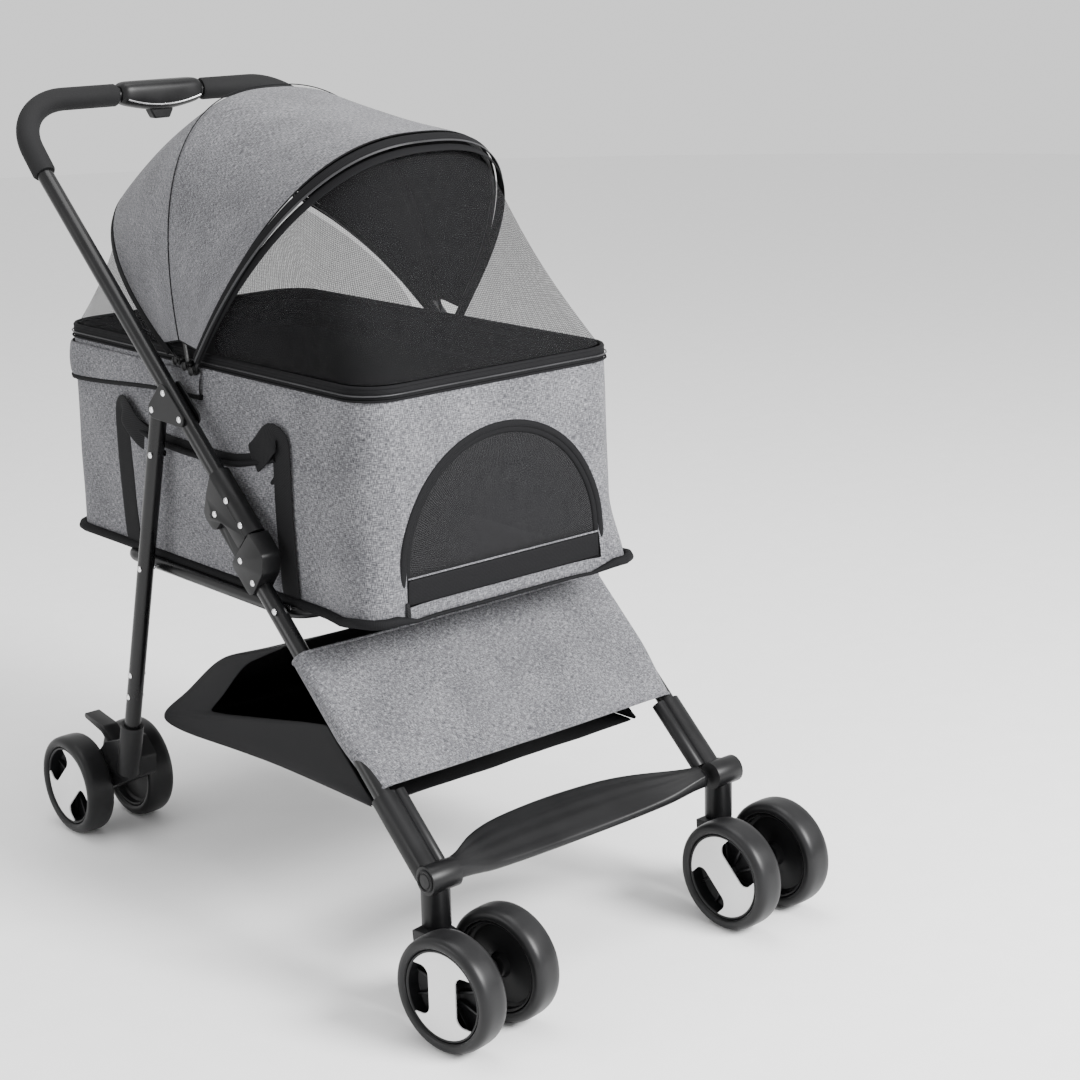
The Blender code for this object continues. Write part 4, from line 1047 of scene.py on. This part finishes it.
# ---- leg panel, basket, step ---------------------------------------------------------
def build_leg_panel():
    """Grey cloth stretched under the front legs and wrapped round their tubes."""
    under, reach = LEG_OFFSET - TUBE_R - PANEL_GAP, TUBE_R + PANEL_GAP
    low, high = PANEL_RUN
    rows = []
    for row in range(19):
        part = row / 18
        s = low + (high - low) * part
        half = 0.2345 - 0.0085 * smoothstep(0.55, 1.0, part)
        points = []
        for step in range(49):
            across = -1 + 2 * step / 48
            sag = 0.0035 * (1 - across ** 2) + 0.0007 * ripple(across * 9, part * 7)
            y, z = along(s, under + sag)
            points.append((across * half, y, z))
        wrap = []
        for step in range(1, 9):
            angle = math.pi * 0.78 * step / 8
            n = LEG_OFFSET - reach * math.cos(angle)
            x = half - 0.0135 + reach * math.sin(angle)
            y, z = along(s, n)
            wrap.append((x, y, z))
        flat = [place for place in points if abs(place[0]) < half - 0.014]
        rows.append([(-x, y, z) for x, y, z in reversed(wrap)] + flat + wrap)
    panel = grid_piece("leg_panel_look", rows, CLOTH, 0.0016)
    place_piece(panel, "front_legs", ["leg_panel"])
    for label, line in (("top", rows[0]), ("low", rows[-1])):
        hem = sweep("leg_panel_hem_" + label, line, 0.0019, CLOTH, 10, up=(0, 0, 1))
        place_piece(hem, "front_legs")


def build_basket():
    """Black cloth tray slung behind the front legs, with raised sides."""
    floor = curve_through([(-0.0560, 0.3560), (0.0150, 0.3330), (0.0900, 0.3050),
                           (0.1700, 0.2450), (0.2340, 0.1960), (0.1950, 0.1845),
                           (0.0660, 0.1930), (-0.0400, 0.1990), (-0.2180, 0.2015)])
    rows = []
    for index, place in enumerate(floor):
        part = index / (len(floor) - 1)
        row = []
        for step in range(33):
            across = -1 + 2 * step / 32
            sag = 0.012 * (1 - across ** 2) * math.sin(math.pi * part)
            row.append((across * BASKET_HALF, place.x, place.y - sag
                        + 0.0015 * ripple(across * 8, part * 12) * (1 - across ** 2)))
        rows.append(row)
    pieces = [grid_piece("basket_floor", rows, BASKET_CLOTH, 0.0018)]
    for side_name, side in SIDES:
        top = [Vector((-0.0560, 0.3580)), Vector((-0.2180, 0.2060))]
        wall = []
        for step in range(9):
            part = step / 8
            row = []
            for index, place in enumerate(floor):
                along_part = index / (len(floor) - 1)
                upper = top[0].lerp(top[1], along_part)
                blend_part = part * (0.30 if along_part < 0.5 else 1.0)
                spot = place.lerp(upper, blend_part)
                row.append((side * (BASKET_HALF + 0.003 * math.sin(math.pi * part)), spot.x, spot.y))
            wall.append(row)
        pieces.append(grid_piece("basket_side_" + side_name, wall, BASKET_CLOTH, 0.0014))
    basket = merge("basket_look", pieces)
    place_piece(basket, "front_legs", ["basket"])
    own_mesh(basket)


def build_footrest():
    stations = (          # x, front top, back top, thickness
        (0.0000, (-0.3450, 0.1490), (-0.2740, 0.1730), 0.0150),
        (0.0500, (-0.3465, 0.1500), (-0.2775, 0.1733), 0.0150),
        (0.0900, (-0.3490, 0.1520), (-0.2840, 0.1740), 0.0150),
        (0.1200, (-0.3508, 0.1543), (-0.2940, 0.1738), 0.0154),
        (0.1450, (-0.3530, 0.1570), (-0.3060, 0.1735), 0.0160),
        (0.1750, (-0.3570, 0.1670), (-0.3300, 0.1755), 0.0195),
        (0.1938, (-0.3580, 0.1700), (-0.3380, 0.1765), 0.0215))
    rows = []
    for side in (-1, 1):
        for x, front, back, thick in (reversed(stations) if side < 0 else stations[1:]):
            top = []
            for step in range(15):
                part = step / 14
                y, z = (front[0] + (back[0] - front[0]) * part, front[1] + (back[1] - front[1]) * part)
                ridge = 0.0010 * math.sin(part * math.pi * 7) if x < 0.15 and 0 < step < 14 else 0.0
                crown = 0.0022 * math.sin(math.pi * part)
                top.append((side * x, y, z + crown + ridge * 0.6 - 0.0014))
            low_back = (side * x, back[0] + 0.0010, back[1] - thick * 0.8)
            mid_back = (side * x, back[0] + 0.0022, back[1] - thick * 0.35)
            low_front = (side * x, front[0] + 0.0040, front[1] - thick)
            mid_front = (side * x, front[0] - 0.0006, front[1] - thick * 0.45)
            rows.append(top + [mid_back, low_back, low_front, mid_front])
    bar = grid_piece("footrest_look", rows, PLASTIC, closed=True, smooth=2)
    fill_holes(bar)
    place_piece(bar, "front_legs", ["footrest_bar"])


# ---- studio --------------------------------------------------------------------------
def area_light(name, place, target, size, power):
    data = bpy.data.lights.new(name, "AREA")
    data.shape, data.size, data.energy = "DISK", size, power
    lamp = bpy.data.objects.new(name, data)
    bpy.context.scene.collection.objects.link(lamp)
    lamp.location = place
    lamp.rotation_euler = (Vector(target) - Vector(place)).to_track_quat("-Z", "Y").to_euler()


def build_studio():
    made = bmesh.new()
    bmesh.ops.create_circle(made, cap_ends=True, segments=96, radius=9.0)
    floor = new_object("studio_floor", made, hard("studio_white", (0.90, 0.90, 0.90), 0.85,
                                                  0.0, 40, 0.00001, 0.0, 0.01))
    world = bpy.data.worlds.new("studio")
    bpy.context.scene.world = world
    world.use_nodes = True
    background = world.node_tree.nodes["Background"]
    background.inputs["Color"].default_value = (1.0, 1.0, 1.0, 1.0)
    background.inputs["Strength"].default_value = 1.1
    area_light("key", (0.9, -3.0, 2.2), (0, 0, 0.5), 1.4, 300)
    area_light("fill", (-3.0, 0.6, 1.4), (0, 0, 0.5), 1.6, 26)
    area_light("top", (0.2, 0.2, 3.2), (0, 0, 0.5), 2.0, 45)


def build_camera():
    azimuth, elevation, roll = (math.radians(value) for value in CAMERA_DEG)
    back = Vector((math.sin(azimuth) * math.cos(elevation),
                   -math.cos(azimuth) * math.cos(elevation), math.sin(elevation)))
    level = (-back).cross(Vector((0, 0, 1))).normalized()
    upright = level.cross(-back)
    right = level * math.cos(roll) + upright * math.sin(roll)
    up = upright * math.cos(roll) - level * math.sin(roll)
    data = bpy.data.cameras.new("camera")
    data.lens, data.sensor_width = LENS_MM, SENSOR_MM
    data.shift_x, data.shift_y = CAMERA_SHIFT
    camera = bpy.data.objects.new("camera", data)
    bpy.context.scene.collection.objects.link(camera)
    turn = Matrix((right, up, back)).transposed().to_4x4()
    camera.matrix_world = Matrix.Translation(CAMERA_PLACE) @ turn
    bpy.context.scene.camera = camera


def main():
    dress_hard_parts()
    build_frame()
    build_brackets()
    build_rivets()
    build_release()
    build_wheels()
    build_carrier()
    build_door()
    build_mat()
    for side_name, side in SIDES:
        build_side_details(side_name, side)
    build_canopy()
    build_leg_panel()
    build_basket()
    build_footrest()
    build_studio()
    build_camera()


main()
